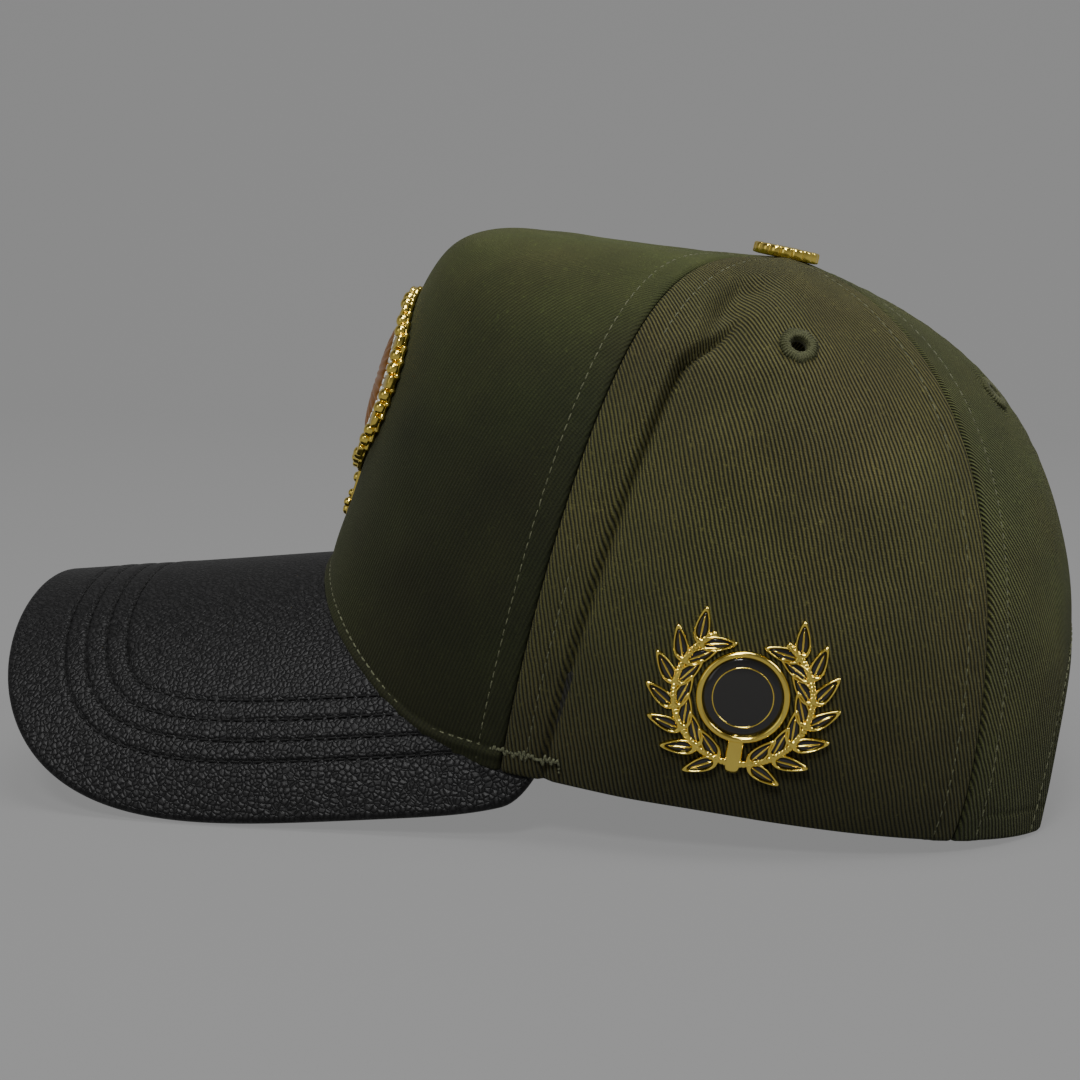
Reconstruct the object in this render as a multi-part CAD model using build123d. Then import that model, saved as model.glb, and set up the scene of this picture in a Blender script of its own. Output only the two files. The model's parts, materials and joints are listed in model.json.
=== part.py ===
from build123d import *
import functools
import math
import os

os.makedirs("parts", exist_ok=True)

# A five-panel cap with a curved visor, a badge, a pin and a snap strap at the back. Millimetres throughout.
# Every piece is drawn in the head frame: visor towards -Y, wearer's left towards +X, and the crown's lower
# edge in the plane z = 0. The last lines turn it all to the way the cap rests on a table.

# ---- crown -------------------------------------------------------------------------------------------------
AXIS_Y = 12.8  # the upright axis the panels meet on
TOP = 126.3  # height of the crown where they meet
# The crown is swept from its lower edge to its top by six rings. Each has a reach in front of the axis, a half
# width and a reach behind it, then the heights of those three places.
RINGS = [
    (112.0, 73.0, 90.5, 0.0, 0.0, 0.0),
    (105.0, 82.5, 90.0, 49.0, 13.0, 28.0),
    (79.0, 82.0, 80.0, 105.0, 79.0, 76.0),
    (111.0, 63.5, 86.0, 148.0, 129.0, 113.5),
    (70.0, 39.0, 8.5, 117.0, TOP, 124.5),
    (0.0, 0.0, 0.0, TOP, TOP, TOP),
]
FRONT_FULLNESS = 2.3  # superellipse power of the rings in front of the axis
BACK_FULLNESS = 2.6
FRONT_SEAM = (55.3, 16.2, -9.4)  # degrees round from the front, and how they change up the crown
BACK_SEAM = (133.2, 0.5, 0.0)
SEAM_GAP = 0.3
PANEL = 1.0  # cloth thickness
TAPE_DEPTHS = (1.15, 1.75)
TAPE_HALF = 6.0
BUCKRAM_DEPTHS = (1.15, 1.95)
BUCKRAM_INSET = 8.0
BAND_DEPTHS = (2.0, 3.3)
BAND_RISE = (1.5, 28.0)
BAND_END = 142.5  # degrees round from the front

# ---- visor -------------------------------------------------------------------------------------------------
BEND = 75.3  # radius the visor is bent to
PITCH = math.radians(12.6)  # how far its ridge dips forwards
ROOT_Y = -93.0
ROOT_Z = 32.0
HALF_WIDTH = 95.4  # measured round the bend
RIM_POWER = 3.68
RIM_FRONT = 98.9
RIM_BACK = 65.9
RIM_MIDDLE = -19.5
ROOT_HALF = 88.0
RIM_END = -55.0
TOP_COVER = (0.0, 0.8)
BOARD = (0.85, 2.6)
UNDER_COVER = (2.65, 3.4)
RIM_STRIP = 0.9
ROOT_CLEAR = 0.15

# ---- trimmings ---------------------------------------------------------------------------------------------
EYELET = (96.3, 0.615)  # degrees round, and the share of the way up
BACK_EYELET = (157.0, 0.60)
EYELET_R = 4.5
EYELET_HOLE = 1.7
BUTTON_R = 8.2
BUTTON_H = 2.8
FLUTES = 20
BADGE_Z = 81.0
BADGE_HALF = (30.0, 25.0)
PIN_Y = 18.6
PIN_Z = 30.0
WREATH_R = 15.5
FIELD_R = 9.0
POST_SPOTS = ((13.1, 36.0), (24.1, 36.0))  # y and z of the pin's posts
POST_R = 0.55
POST_LENGTH = 9.5
CLUTCH_R = 4.5
CLUTCH_H = 4.5
CLUTCH_START = 2.1  # from the outside of the cloth
CLUTCH_CLEAR = 0.05

# ---- back opening and its strap ----------------------------------------------------------------------------
ARCH_HALF = 42.0
ARCH_TOP = 46.0
ARCH_POWER = 2.5
STRAP_R = 114.0  # middle of the outer strap
STRAP_ROOT = 35.0
STRAP_T = 1.2
STRAP_STEP = 1.5
STRAP_Z = (3.0, 19.0)
STRAP_DEPTH = 3.7  # of the outer strap's middle, at its root
SNAP_PITCH = 8.0
SNAPS_SHUT = 4
SNAPS_SPARE = 2
STRAP_TIP = 4.6
SNAP_HOLE = 2.6
SNAP_NECK = 1.7
SNAP_HEAD = 1.95


# ---- the crown's surface -----------------------------------------------------------------------------------
def ring_mix(phi, s):
    """Height and distance from the axis of the crown's outside."""
    c = math.cos(math.radians(phi))
    sn = math.sin(math.radians(phi))
    reach = 0.0
    height = 0.0
    for k, (front, side, back, z_front, z_side, z_back) in enumerate(RINGS):
        weight = math.comb(5, k) * s**k * (1 - s) ** (5 - k)
        end, z_end, power = (front, z_front, FRONT_FULLNESS) if c > 0 else (back, z_back, BACK_FULLNESS)
        if side > 0:
            reach += weight * ((abs(sn) / side) ** power + (abs(c) / end) ** power) ** (-1 / power)
        height += weight * (z_side + (z_end - z_side) * c * c)
    return reach, height


def outside(phi, s):
    reach, height = ring_mix(phi, s)
    a = math.radians(phi)
    return Vector(reach * math.sin(a), AXIS_Y - reach * math.cos(a), height)


def outward(phi, s):
    """Unit normal of the crown, pointing out."""
    e = 1e-4
    along = outside(phi + 10 * e, s) - outside(phi - 10 * e, s)
    up = outside(phi, s + e) - outside(phi, s - e)
    n = along.cross(up)
    n = n.normalized()
    a = math.radians(phi)
    if n.X * math.sin(a) - n.Y * math.cos(a) + n.Z < 0:
        n = -n
    return n


def crown(phi, s, depth=0.0):
    """A point of the crown, this far in from its outside."""
    p = outside(phi, s)
    return p - outward(phi, s) * depth if depth else p


def solve(f, low, high, rounds=40):
    """Where f, which rises, is zero."""
    for _ in range(rounds):
        mid = (low + high) / 2
        if f(mid) < 0:
            low = mid
        else:
            high = mid
    return (low + high) / 2


@functools.lru_cache(maxsize=None)
def s_at_height(phi, z):
    return solve(lambda s: ring_mix(phi, s)[1] - z, -0.05, 0.62)


@functools.lru_cache(maxsize=None)
def s_at_reach(phi, r):
    return solve(lambda s: r - ring_mix(phi, s)[0], 0.85, 0.9999)


def degrees_for(mm, phi, s):
    return math.degrees(mm / max(ring_mix(phi, s)[0], 1.0))


def front_seam(s):
    return FRONT_SEAM[0] + FRONT_SEAM[1] * s + FRONT_SEAM[2] * s * s


def back_seam(s):
    return BACK_SEAM[0] + BACK_SEAM[1] * s + BACK_SEAM[2] * s * s


# ---- the visor's surface -----------------------------------------------------------------------------------
def visor(a, b, depth=0.0):
    """a runs across the visor round its bend, b forwards, depth down from its top face."""
    t = a / BEND
    r = BEND - depth
    x = r * math.sin(t)
    n = r * math.cos(t) - BEND
    y = ROOT_Y - b * math.cos(PITCH) - n * math.sin(PITCH)
    z = ROOT_Z - b * math.sin(PITCH) + n * math.cos(PITCH)
    return Vector(x, y, z)


def visor_height(x, y, depth):
    """Height of the visor's sheet above or below this spot."""
    r = BEND - depth
    if abs(x) > 0.985 * r:
        return -60.0
    n = math.sqrt(r * r - x * x) - BEND
    b = (ROOT_Y - y - n * math.sin(PITCH)) / math.cos(PITCH)
    return ROOT_Z - b * math.sin(PITCH) + n * math.cos(PITCH)


@functools.lru_cache(maxsize=None)
def lower_edge(phi):
    """Share of the way up at which a panel starts: on the visor's underside in front, at z = 0 behind."""
    phi = abs(phi)

    def above(s):
        p = outside(phi, s)
        v = visor_height(p.X, p.Y, UNDER_COVER[1])
        return p.Z - (v + math.sqrt(v * v + 9.0)) / 2

    return solve(above, -0.02, 0.5) if phi < 100 else s_at_height(phi, 0.0)


@functools.lru_cache(maxsize=None)
def root_b(a, depth):
    """How far forward the visor's sheet meets the crown's outside."""

    def clear(b):
        p = visor(a, b, depth)
        phi = math.degrees(math.atan2(p.X, AXIS_Y - p.Y))
        s = s_at_height(phi, max(p.Z, 0.0))
        return math.hypot(p.X, p.Y - AXIS_Y) - ring_mix(phi, s)[0] - ROOT_CLEAR

    return solve(clear, -85.0, 15.0)


def rim_curve(inset):
    """Half of the rim, from the middle of the front round to the tip, as evenly spaced flat points."""
    raw = []
    count = 2400
    for i in range(count + 1):
        t = math.pi / 2 - i / count * (math.pi / 2 + 1.2)
        a = HALF_WIDTH * abs(math.cos(t)) ** (2 / RIM_POWER)
        length = RIM_FRONT if t > 0 else RIM_BACK
        b = RIM_MIDDLE + math.copysign(length * abs(math.sin(t)) ** (2 / RIM_POWER), t)
        raw.append((a, b))
        if t < 0 and b < RIM_END:
            break
    moved = []
    for i, (a, b) in enumerate(raw):
        before = raw[max(i - 3, 0)]
        after = raw[min(i + 3, len(raw) - 1)]
        da = after[0] - before[0]
        db = after[1] - before[1]
        size = math.hypot(da, db)
        moved.append((max(a + db / size * inset, 0.0) if i else 0.0, b - da / size * inset))
    lengths = [0.0]
    for p, q in zip(moved, moved[1:]):
        lengths.append(lengths[-1] + math.dist(p, q))
    return moved, lengths


RIMS = {inset: rim_curve(inset) for inset in (0.0, RIM_STRIP, RIM_STRIP + 0.05)}


def rim_point(u, inset):
    """u runs from one tip (-1) to the other (1)."""
    points, lengths = RIMS[inset]
    want = abs(u) * lengths[-1]
    low, high = 0, len(points) - 1
    while high - low > 1:
        mid = (low + high) // 2
        if lengths[mid] <= want:
            low = mid
        else:
            high = mid
    share = (want - lengths[low]) / max(lengths[high] - lengths[low], 1e-9)
    a = points[low][0] + (points[high][0] - points[low][0]) * share
    b = points[low][1] + (points[high][1] - points[low][1]) * share
    return math.copysign(a, u), b


# ---- building blocks ---------------------------------------------------------------------------------------
def sheet(place, across, up):
    """A smooth face through place(u, v), with u and v running from 0 to 1."""
    points = []
    for j in range(up):
        points.append([place(i / (across - 1), j / (up - 1)) for i in range(across)])
    return Face.make_surface_from_array_of_points(points, tol=0.01, min_deg=3, max_deg=5)


def slab(place, outer, inner, across, up):
    """The solid between two sheets of one family, closed round its border."""
    top = sheet(lambda u, v: place(u, v, outer), across, up)
    low = sheet(lambda u, v: place(u, v, inner), across, up)
    faces = [top, low]
    left = list(low.edges())
    for edge in top.edges():
        mate = min(left, key=lambda e: (e.position_at(0.5) - edge.position_at(0.5)).length)
        left.remove(mate)
        faces.append(Face.make_surface_from_curves(edge, mate))
    solid = Solid(Shell(faces))
    if solid.volume < 0:
        solid = Solid(Shell([-f for f in faces]))
    return solid


def crown_slab(low_phi, high_phi, low_s, high_s, outer, inner, across, up):
    """Part of the crown's wall. The phi limits depend on the height, and the height limits on phi."""

    def place(u, v, depth):
        s = v
        for _ in range(8):
            phi = low_phi(s) + (high_phi(s) - low_phi(s)) * u
            s = low_s(phi) + (high_s(phi) - low_s(phi)) * v
        return crown(phi, s, depth)

    return slab(place, outer, inner, across, up)


def tape(seam, low, high, across=7, up=31):
    """A strip inside the crown, along a seam."""

    def place(u, v, depth):
        s = low + (high - low) * v
        phi = seam(s)
        return crown(phi + degrees_for(TAPE_HALF * (2 * u - 1), phi, s), s, depth)

    return slab(place, TAPE_DEPTHS[0], TAPE_DEPTHS[1], across, up)


def near_seam(seam, mm):
    return lambda s: seam(s) + degrees_for(mm, seam(s), s)


def top_hole(phi):
    return s_at_reach(round(abs(phi), 3), 2.6)


def edge_of(phi):
    return lower_edge(round(abs(phi), 3))


def above_edge(mm):
    """The share of the way up that is mm over the lower edge."""

    def at(phi):
        phi = round(abs(phi), 3)
        return s_at_height(phi, round(ring_mix(phi, lower_edge(phi))[1] + mm, 3))

    return at


def outline_prism(plane, points, reach):
    """A prism of a closed smooth or straight outline, both ways from its plane."""
    wire = Polyline(*points, close=True)
    return extrude(plane * make_face(wire), amount=reach, both=True)


def wall_at(x, z, depth):
    """The place inside the back of the crown with this x and height."""

    def off(phi):
        return x - crown(phi, s_at_height(round(phi, 6), z), depth).X

    phi = solve(off, 120.0, 179.9)
    return crown(phi, s_at_height(round(phi, 6), z), depth)


nodes = {}


def pair(name, shape):
    nodes[name + "_left"] = shape
    nodes[name + "_right"] = mirror(shape, about=Plane.YZ)


# ---- the five panels ---------------------------------------------------------------------------------------
half_gap = SEAM_GAP / 2
front = crown_slab(
    lambda s: -near_seam(front_seam, -half_gap)(s),
    near_seam(front_seam, -half_gap),
    edge_of,
    top_hole,
    0.0,
    PANEL,
    41,
    45,
)
side = crown_slab(
    near_seam(front_seam, half_gap),
    near_seam(back_seam, -half_gap),
    edge_of,
    top_hole,
    0.0,
    PANEL,
    33,
    41,
)
back = crown_slab(
    near_seam(back_seam, half_gap),
    lambda s: 180 - degrees_for(half_gap, 180, s),
    edge_of,
    top_hole,
    0.0,
    PANEL,
    21,
    41,
)
arch_points = []
for i in range(61):
    t = math.pi * i / 60
    c = math.cos(t)
    x = math.copysign(ARCH_HALF * abs(c) ** (2 / ARCH_POWER), c)
    arch_points.append((x, ARCH_TOP * math.sin(t) ** (2 / ARCH_POWER) - 2.0))
arch_outline = arch_points + [(-ARCH_HALF, -20.0), (ARCH_HALF, -20.0)]
arch_plane = Plane(origin=(0, 80, 0), x_dir=(1, 0, 0), z_dir=(0, -1, 0))
arch = outline_prism(arch_plane, arch_outline, 60)
back = back - arch


def eyelet(phi, s):
    """A sewn eyelet: a flange on the outside and a short sleeve through the cloth."""
    axis = outward(phi, s)
    plane = Plane(origin=outside(phi, s), z_dir=axis)
    ring = Pos(0, 0, 0.2) * extrude(Circle(EYELET_R) - Circle(EYELET_HOLE), amount=0.7)
    sleeve = Pos(0, 0, -1.2) * extrude(Circle(EYELET_HOLE + 0.6) - Circle(EYELET_HOLE), amount=1.6)
    hole = Pos(0, 0, -4) * extrude(Circle(EYELET_HOLE + 0.65), amount=8)
    return plane * (ring + sleeve), plane * hole


side_eyelet, side_hole = eyelet(*EYELET)
back_eyelet, back_hole = eyelet(*BACK_EYELET)
side = side - side_hole
back = back - back_hole
pair("side_panel", side)
pair("back_panel", back)
pair("side_eyelet", side_eyelet)
pair("back_eyelet", back_eyelet)
nodes["front_panel"] = front

# ---- what stiffens and lines the crown ---------------------------------------------------------------------
nodes["front_buckram"] = crown_slab(
    lambda s: -near_seam(front_seam, -BUCKRAM_INSET)(s),
    near_seam(front_seam, -BUCKRAM_INSET),
    above_edge(5.0),
    lambda phi: 0.86,
    *BUCKRAM_DEPTHS,
    31,
    35,
)
front_tape_low = lower_edge(round(front_seam(0.1), 3)) + 0.01
pair("front_seam_tape", tape(front_seam, front_tape_low, s_at_reach(round(front_seam(0.9), 3), 11.0)))
pair("back_seam_tape", tape(back_seam, 0.01, s_at_reach(round(back_seam(0.9), 3), 16.0)))
nodes["rear_seam_tape"] = tape(lambda s: 180.0, 0.46, s_at_reach(180.0, 16.0))
nodes["sweatband"] = crown_slab(
    lambda s: -BAND_END,
    lambda s: BAND_END,
    above_edge(BAND_RISE[0]),
    above_edge(BAND_RISE[1]),
    *BAND_DEPTHS,
    121,
    7,
)
nodes["care_label"] = crown_slab(
    lambda s: -122.0,
    lambda s: -108.0,
    above_edge(4.0),
    above_edge(25.0),
    BAND_DEPTHS[1] + 0.1,
    BAND_DEPTHS[1] + 0.4,
    7,
    7,
)
binding_outer = [(x * (1 + 7.0 / ARCH_HALF), (z + 2.0) * (1 + 7.0 / ARCH_TOP) - 2.0) for x, z in arch_points]
binding_outer += [(-ARCH_HALF - 7, -20.0), (ARCH_HALF + 7, -20.0)]
binding_wall = crown_slab(
    lambda s: 146.0,
    lambda s: 214.0,
    lambda phi: 0.004,
    lambda phi: 0.46,
    *TAPE_DEPTHS,
    31,
    21,
)
nodes["arch_binding"] = (binding_wall & outline_prism(arch_plane, binding_outer, 60)) - arch

# ---- visor -------------------------------------------------------------------------------------------------


def visor_slab(depths, inset):
    def place(u, v, depth):
        w = 2 * u - 1
        a = ROOT_HALF * w
        b = root_b(round(abs(a), 4), depth)
        rim_a, rim_b = rim_point(w, inset)
        return visor(a + (rim_a - a) * v, b + (rim_b - b) * v, depth)

    return slab(place, depths[0], depths[1], 81, 13)


def rim_place(u, v, inset):
    a, b = rim_point(2 * u - 1, inset)
    return visor(a, b, UNDER_COVER[1] * v)


nodes["visor_top_cover"] = visor_slab(TOP_COVER, RIM_STRIP + 0.05)
nodes["visor_board"] = visor_slab(BOARD, RIM_STRIP + 0.05)
nodes["visor_under_cover"] = visor_slab(UNDER_COVER, RIM_STRIP + 0.05)
nodes["visor_rim"] = slab(rim_place, 0.0, RIM_STRIP, 121, 5)

# ---- top button --------------------------------------------------------------------------------------------
button = extrude(Circle(BUTTON_R), amount=BUTTON_H)
button = chamfer(button.edges().sort_by(Axis.Z)[-1], 0.5)
for i in range(FLUTES):
    a = 2 * math.pi * i / FLUTES
    spot = Pos((BUTTON_R + 0.25) * math.cos(a), (BUTTON_R + 0.25) * math.sin(a), -1)
    button -= spot * extrude(Circle(0.75), amount=BUTTON_H + 2)
button_plane = Plane(origin=(0, AXIS_Y, TOP + 0.1), z_dir=(0, math.sin(math.radians(4)), 1))
nodes["top_button"] = button_plane * (Pos(0, 0, 0.2) * button)
nodes["button_rivet"] = button_plane * (Pos(0, 0, -3.2) * extrude(Circle(1.5), amount=3.3))
washer = extrude(Circle(7.0) - Circle(1.6), amount=0.6)
nodes["button_washer"] = button_plane * (Pos(0, 0, -3.2) * washer)

# ---- badge on the front ------------------------------------------------------------------------------------


def front_wall(outer, inner):
    return crown_slab(
        lambda s: -30.0,
        lambda s: 30.0,
        lambda phi: s_at_height(round(abs(phi), 3), 38.0),
        lambda phi: s_at_height(round(abs(phi), 3), 110.0),
        outer,
        inner,
        21,
        21,
    )


badge_plane = Plane(origin=(0, -90, BADGE_Z), x_dir=(1, 0, 0), z_dir=(0, -1, 0))


def oval(shrink, scallops=0, bite=0.0):
    points = []
    for i in range(144):
        t = 2 * math.pi * i / 144
        k = 1 - bite * abs(math.sin(scallops * t / 2)) if scallops else 1
        points.append(((BADGE_HALF[0] - shrink) * math.cos(t) * k, (BADGE_HALF[1] - shrink) * math.sin(t) * k))
    return points


tab_points = [(-6.0, -20.0), (-4.0, -36.0), (4.0, -36.0), (6.0, -20.0)]
badge_outline = outline_prism(badge_plane, oval(0, 16, 0.05), 40)
badge_outline += outline_prism(badge_plane, tab_points, 40)
nodes["badge_plate"] = front_wall(-0.2, -1.5) & badge_outline
step_ring = outline_prism(badge_plane, oval(3.0), 40) - outline_prism(badge_plane, oval(5.0), 40)
nodes["badge_rim"] = front_wall(-1.55, -2.3) & step_ring
nodes["badge_inlay"] = front_wall(-1.55, -1.85) & outline_prism(badge_plane, oval(5.4), 40)
star = []
for i in range(16):
    t = 2 * math.pi * i / 16
    r = 11.0 if i % 2 == 0 else 5.5
    star.append((r * math.sin(t), r * math.cos(t)))
nodes["badge_boss"] = front_wall(-1.9, -2.7) & outline_prism(badge_plane, star, 40)
prongs = None
for x, z in ((-18, 88), (18, 88), (0, 62)):
    phi = math.degrees(math.asin(x / 100.0))
    s = s_at_height(round(abs(phi), 3), z)
    plane = Plane(origin=outside(phi, s), z_dir=-outward(phi, s))
    piece = plane * (Pos(0, 0, -0.1) * extrude(Circle(0.6), amount=3.0))
    piece += plane * (Pos(1.7, 0, 2.5) * Box(4.6, 1.2, 0.6))
    prongs = piece if prongs is None else prongs + piece
    hole = plane * (Pos(0, 0, -1) * extrude(Circle(0.8), amount=3.4))
    nodes["front_panel"] -= hole
    nodes["front_buckram"] -= hole
nodes["badge_prongs"] = prongs

# ---- leaf pin on the wearer's left -------------------------------------------------------------------------


def side_wall(outer, inner):
    return crown_slab(
        lambda s: 68.0,
        lambda s: 120.0,
        lambda phi: s_at_height(round(phi, 3), 6.0),
        lambda phi: s_at_height(round(phi, 3), 52.0),
        outer,
        inner,
        21,
        15,
    )


pin_plane = Plane(origin=(78, PIN_Y, PIN_Z), x_dir=(0, 1, 0), z_dir=(1, 0, 0))


def leaf(turn, lean, side):
    """A leaf on the wreath, turn degrees up from its lowest point and leaning off the stem."""
    a = math.radians(turn)
    root_x = WREATH_R * math.sin(a)
    root_y = -WREATH_R * math.cos(a)
    d = math.radians(turn + lean)
    points = []
    for i in range(33):
        t = 2 * math.pi * i / 33
        x = 4.4 - 4.4 * math.cos(t)
        y = 1.9 * math.sin(t) * (1.1 - 0.06 * x)
        points.append((root_x + x * math.cos(d) - y * math.sin(d), root_y + x * math.sin(d) + y * math.cos(d)))
    return make_face(Polyline(*[(side * px, py) for px, py in points], close=True))


wreath = Circle(WREATH_R + 0.8) - Circle(WREATH_R - 0.8)
wreath -= Pos(0, WREATH_R + 4) * Rectangle(WREATH_R * 1.5, WREATH_R)
wreath += Circle(FIELD_R + 1.6)
wreath += Pos(0, -FIELD_R - 4) * Rectangle(4.0, 9.0)
for side in (-1, 1):
    for turn in range(12, 140, 20):
        for lean in (-38, 38):
            wreath += leaf(turn, lean, side)
nodes["pin_body"] = side_wall(-0.15, -1.45) & (pin_plane * extrude(wreath, amount=20, both=True))
field = pin_plane * extrude(Circle(FIELD_R), amount=20, both=True)
nodes["pin_enamel"] = side_wall(-1.5, -1.8) & field
posts = None
clutches = []
for y, z in POST_SPOTS:
    phi = solve(lambda p: outside(p, s_at_height(round(p, 6), z)).Y - y, 60.0, 130.0)
    skin_x = outside(phi, s_at_height(round(phi, 6), z)).X
    post_plane = Plane(origin=(skin_x, y, z), x_dir=(0, 1, 0), z_dir=(-1, 0, 0))
    post = post_plane * extrude(Circle(POST_R), amount=POST_LENGTH)
    posts = post if posts is None else posts + post
    nodes["side_panel_left"] -= post_plane * (Pos(0, 0, -2) * extrude(Circle(POST_R + 0.1), amount=5))
    cup = Pos(0, 0, CLUTCH_START) * extrude(Circle(CLUTCH_R) - Circle(POST_R + CLUTCH_CLEAR), amount=CLUTCH_H)
    for turn in (90, 270):
        wing = Rot(0, 0, turn) * (Pos(CLUTCH_R + 0.6, 0, CLUTCH_START + CLUTCH_H - 0.6) * Box(3.0, 4.6, 1.2))
        cup += wing
    clutches.append(post_plane * cup)
nodes["pin_posts"] = posts
nodes["pin_clutch_front"] = clutches[0]
nodes["pin_clutch_rear"] = clutches[1]

# ---- snap strap across the back ----------------------------------------------------------------------------
low_spot = wall_at(STRAP_ROOT, STRAP_Z[0], STRAP_DEPTH)
high_spot = wall_at(STRAP_ROOT, STRAP_Z[1], STRAP_DEPTH)
lean = math.atan2(low_spot.Y - high_spot.Y, high_spot.Z - low_spot.Z)
middle = (low_spot + high_spot) / 2
strap_height = STRAP_Z[1] - STRAP_Z[0]
root_turn = math.asin(STRAP_ROOT / STRAP_R)
# In the strap's own frame +Y is straight out of the back, +Z leans with the wall and the bend's centre is at 0.
root_reach = STRAP_R * math.cos(root_turn)
strap_plane = Plane(
    origin=(0, middle.Y - root_reach * math.cos(lean), middle.Z - root_reach * math.sin(lean)),
    x_dir=(1, 0, 0),
    z_dir=(0, -math.sin(lean), math.cos(lean)),
)


def bent_plate(radius, start, end):
    """A strap's length, from one turn to another in radians, positive towards the wearer's left."""
    r0 = radius - STRAP_T / 2
    r1 = radius + STRAP_T / 2
    mid = (start + end) / 2

    def at(r, t):
        return (r * math.sin(t), r * math.cos(t))

    outer = ThreePointArc(at(r1, start), at(r1, mid), at(r1, end))
    inner = ThreePointArc(at(r0, start), at(r0, mid), at(r0, end))
    ends = [Line(at(r1, start), at(r0, start)), Line(at(r1, end), at(r0, end))]
    face = make_face([outer, inner, *ends])
    return Pos(0, 0, -strap_height / 2) * extrude(face, amount=strap_height)


def radial(r, t, length, radius):
    plane = Plane(origin=(r * math.sin(t), r * math.cos(t), 0), z_dir=(math.sin(t), math.cos(t), 0))
    return plane * extrude(Circle(radius), amount=length)


step = SNAP_PITCH / STRAP_R
shut = [(i - (SNAPS_SHUT - 1) / 2) * step for i in range(SNAPS_SHUT)]
tip = shut[-1] + STRAP_TIP / STRAP_R
outer_r = STRAP_R
inner_r = STRAP_R - STRAP_STEP


def rounded_tip(plate, turn):
    """Cuts a tip's corners back to a curve."""
    sign = 1 if turn > 0 else -1
    keep = None
    x = math.sin(turn) * STRAP_R
    body = Pos(x - sign * 56, STRAP_R, 0) * Box(100, 40, strap_height + 2)
    nose = Pos(x - sign * 6, STRAP_R, 0) * Rot(90, 0, 0) * extrude(
        RectangleRounded(12 - 0.02, strap_height, 5), amount=20, both=True
    )
    keep = body + nose
    return plate & keep


# The strap with the holes starts on the wearer's left and lies outside the one with the studs.
hole_strap = rounded_tip(bent_plate(outer_r, -tip, root_turn), -tip)
hole_turns = shut + [shut[-1] + k * step for k in range(1, SNAPS_SPARE + 1)]
for t in hole_turns:
    hole_strap -= radial(outer_r - 3, t, 6, SNAP_HOLE)
stud_strap = rounded_tip(bent_plate(inner_r, -root_turn, tip), tip)
stud_turns = shut + [shut[0] - k * step for k in range(1, SNAPS_SPARE + 1)]
for t in stud_turns:
    stud_strap += radial(inner_r, t, STRAP_T / 2 + STRAP_STEP, SNAP_NECK)
    stud_strap += radial(inner_r + STRAP_T / 2 + STRAP_STEP, t, 0.7, SNAP_HEAD)


def hinge_bead(radius, turn):
    spot = Pos(radius * math.sin(turn), radius * math.cos(turn), -strap_height / 2)
    return spot * extrude(Circle(STRAP_T / 2), amount=strap_height)


hole_strap += hinge_bead(outer_r, root_turn)
stud_strap += hinge_bead(inner_r, -root_turn)
nodes["strap_holes"] = strap_plane * hole_strap
nodes["strap_studs"] = strap_plane * stud_strap


def anchor(side, radius):
    """The sewn end of a strap, inside the wall beside the opening."""
    start = math.asin((STRAP_ROOT + 1.2) / radius)
    stop = math.asin((STRAP_ROOT + 8.0) / radius)
    plate = bent_plate(radius, start, stop) if side > 0 else bent_plate(radius, -stop, -start)
    return strap_plane * plate


nodes["strap_anchor_left"] = anchor(1, outer_r)
nodes["strap_anchor_right"] = anchor(-1, inner_r)

# ---- turn it to the way it rests ---------------------------------------------------------------------------
contact = []
for i in range(201):
    a, b = rim_point(-1 + i / 100, 0.0)
    contact.append(visor(a, b, UNDER_COVER[1]))
rear_corner = wall_at(ARCH_HALF, 0.0, 0.0)


def rest_gap(tilt):
    """How much higher the visor's lowest place is than the rear corners, nose up by tilt."""
    low = min(p.Z * math.cos(tilt) - p.Y * math.sin(tilt) for p in contact)
    return low - (rear_corner.Z * math.cos(tilt) - rear_corner.Y * math.sin(tilt))


tilt = solve(rest_gap, 0.0, 0.4)
turned = [Vector(0, p.Y * math.cos(tilt) + p.Z * math.sin(tilt), 0) for p in contact]
y_low = min(p.Y for p in turned)
rear = [outside(180.0, i / 100) for i in range(60)]
y_high = max(p.Y * math.cos(tilt) + p.Z * math.sin(tilt) for p in rear)
floor = rear_corner.Z * math.cos(tilt) - rear_corner.Y * math.sin(tilt)
rest = Pos(0, -(y_low + y_high) / 2, -floor) * Rot(-math.degrees(tilt), 0, 0)

for name, shape in nodes.items():
    solids = (rest * shape).solids()
    export_step(solids[0] if len(solids) == 1 else Compound(children=list(solids)), f"parts/{name}.step")


def report_point(label, p):
    v = (rest * Pos(p.X, p.Y, p.Z)).position
    print(label, [round(c, 4) for c in (v.X, v.Y, v.Z)])


print("tilt", round(math.degrees(tilt), 3), "shift", rest.position)
hinge_left = strap_plane.from_local_coords(Vector(outer_r * math.sin(root_turn), outer_r * math.cos(root_turn), 0))
hinge_right = strap_plane.from_local_coords(Vector(-inner_r * math.sin(root_turn), inner_r * math.cos(root_turn), 0))
report_point("hole strap hinge", hinge_left)
report_point("stud strap hinge", hinge_right)
report_point("hinge axis from", Vector(0, 0, 0))
report_point("hinge axis to", strap_plane.z_dir)
for y, z in POST_SPOTS:
    report_point("post", Vector(0, y, z))
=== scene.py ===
import json
import math

import bpy
import numpy as np
from mathutils import Matrix, Vector


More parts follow.
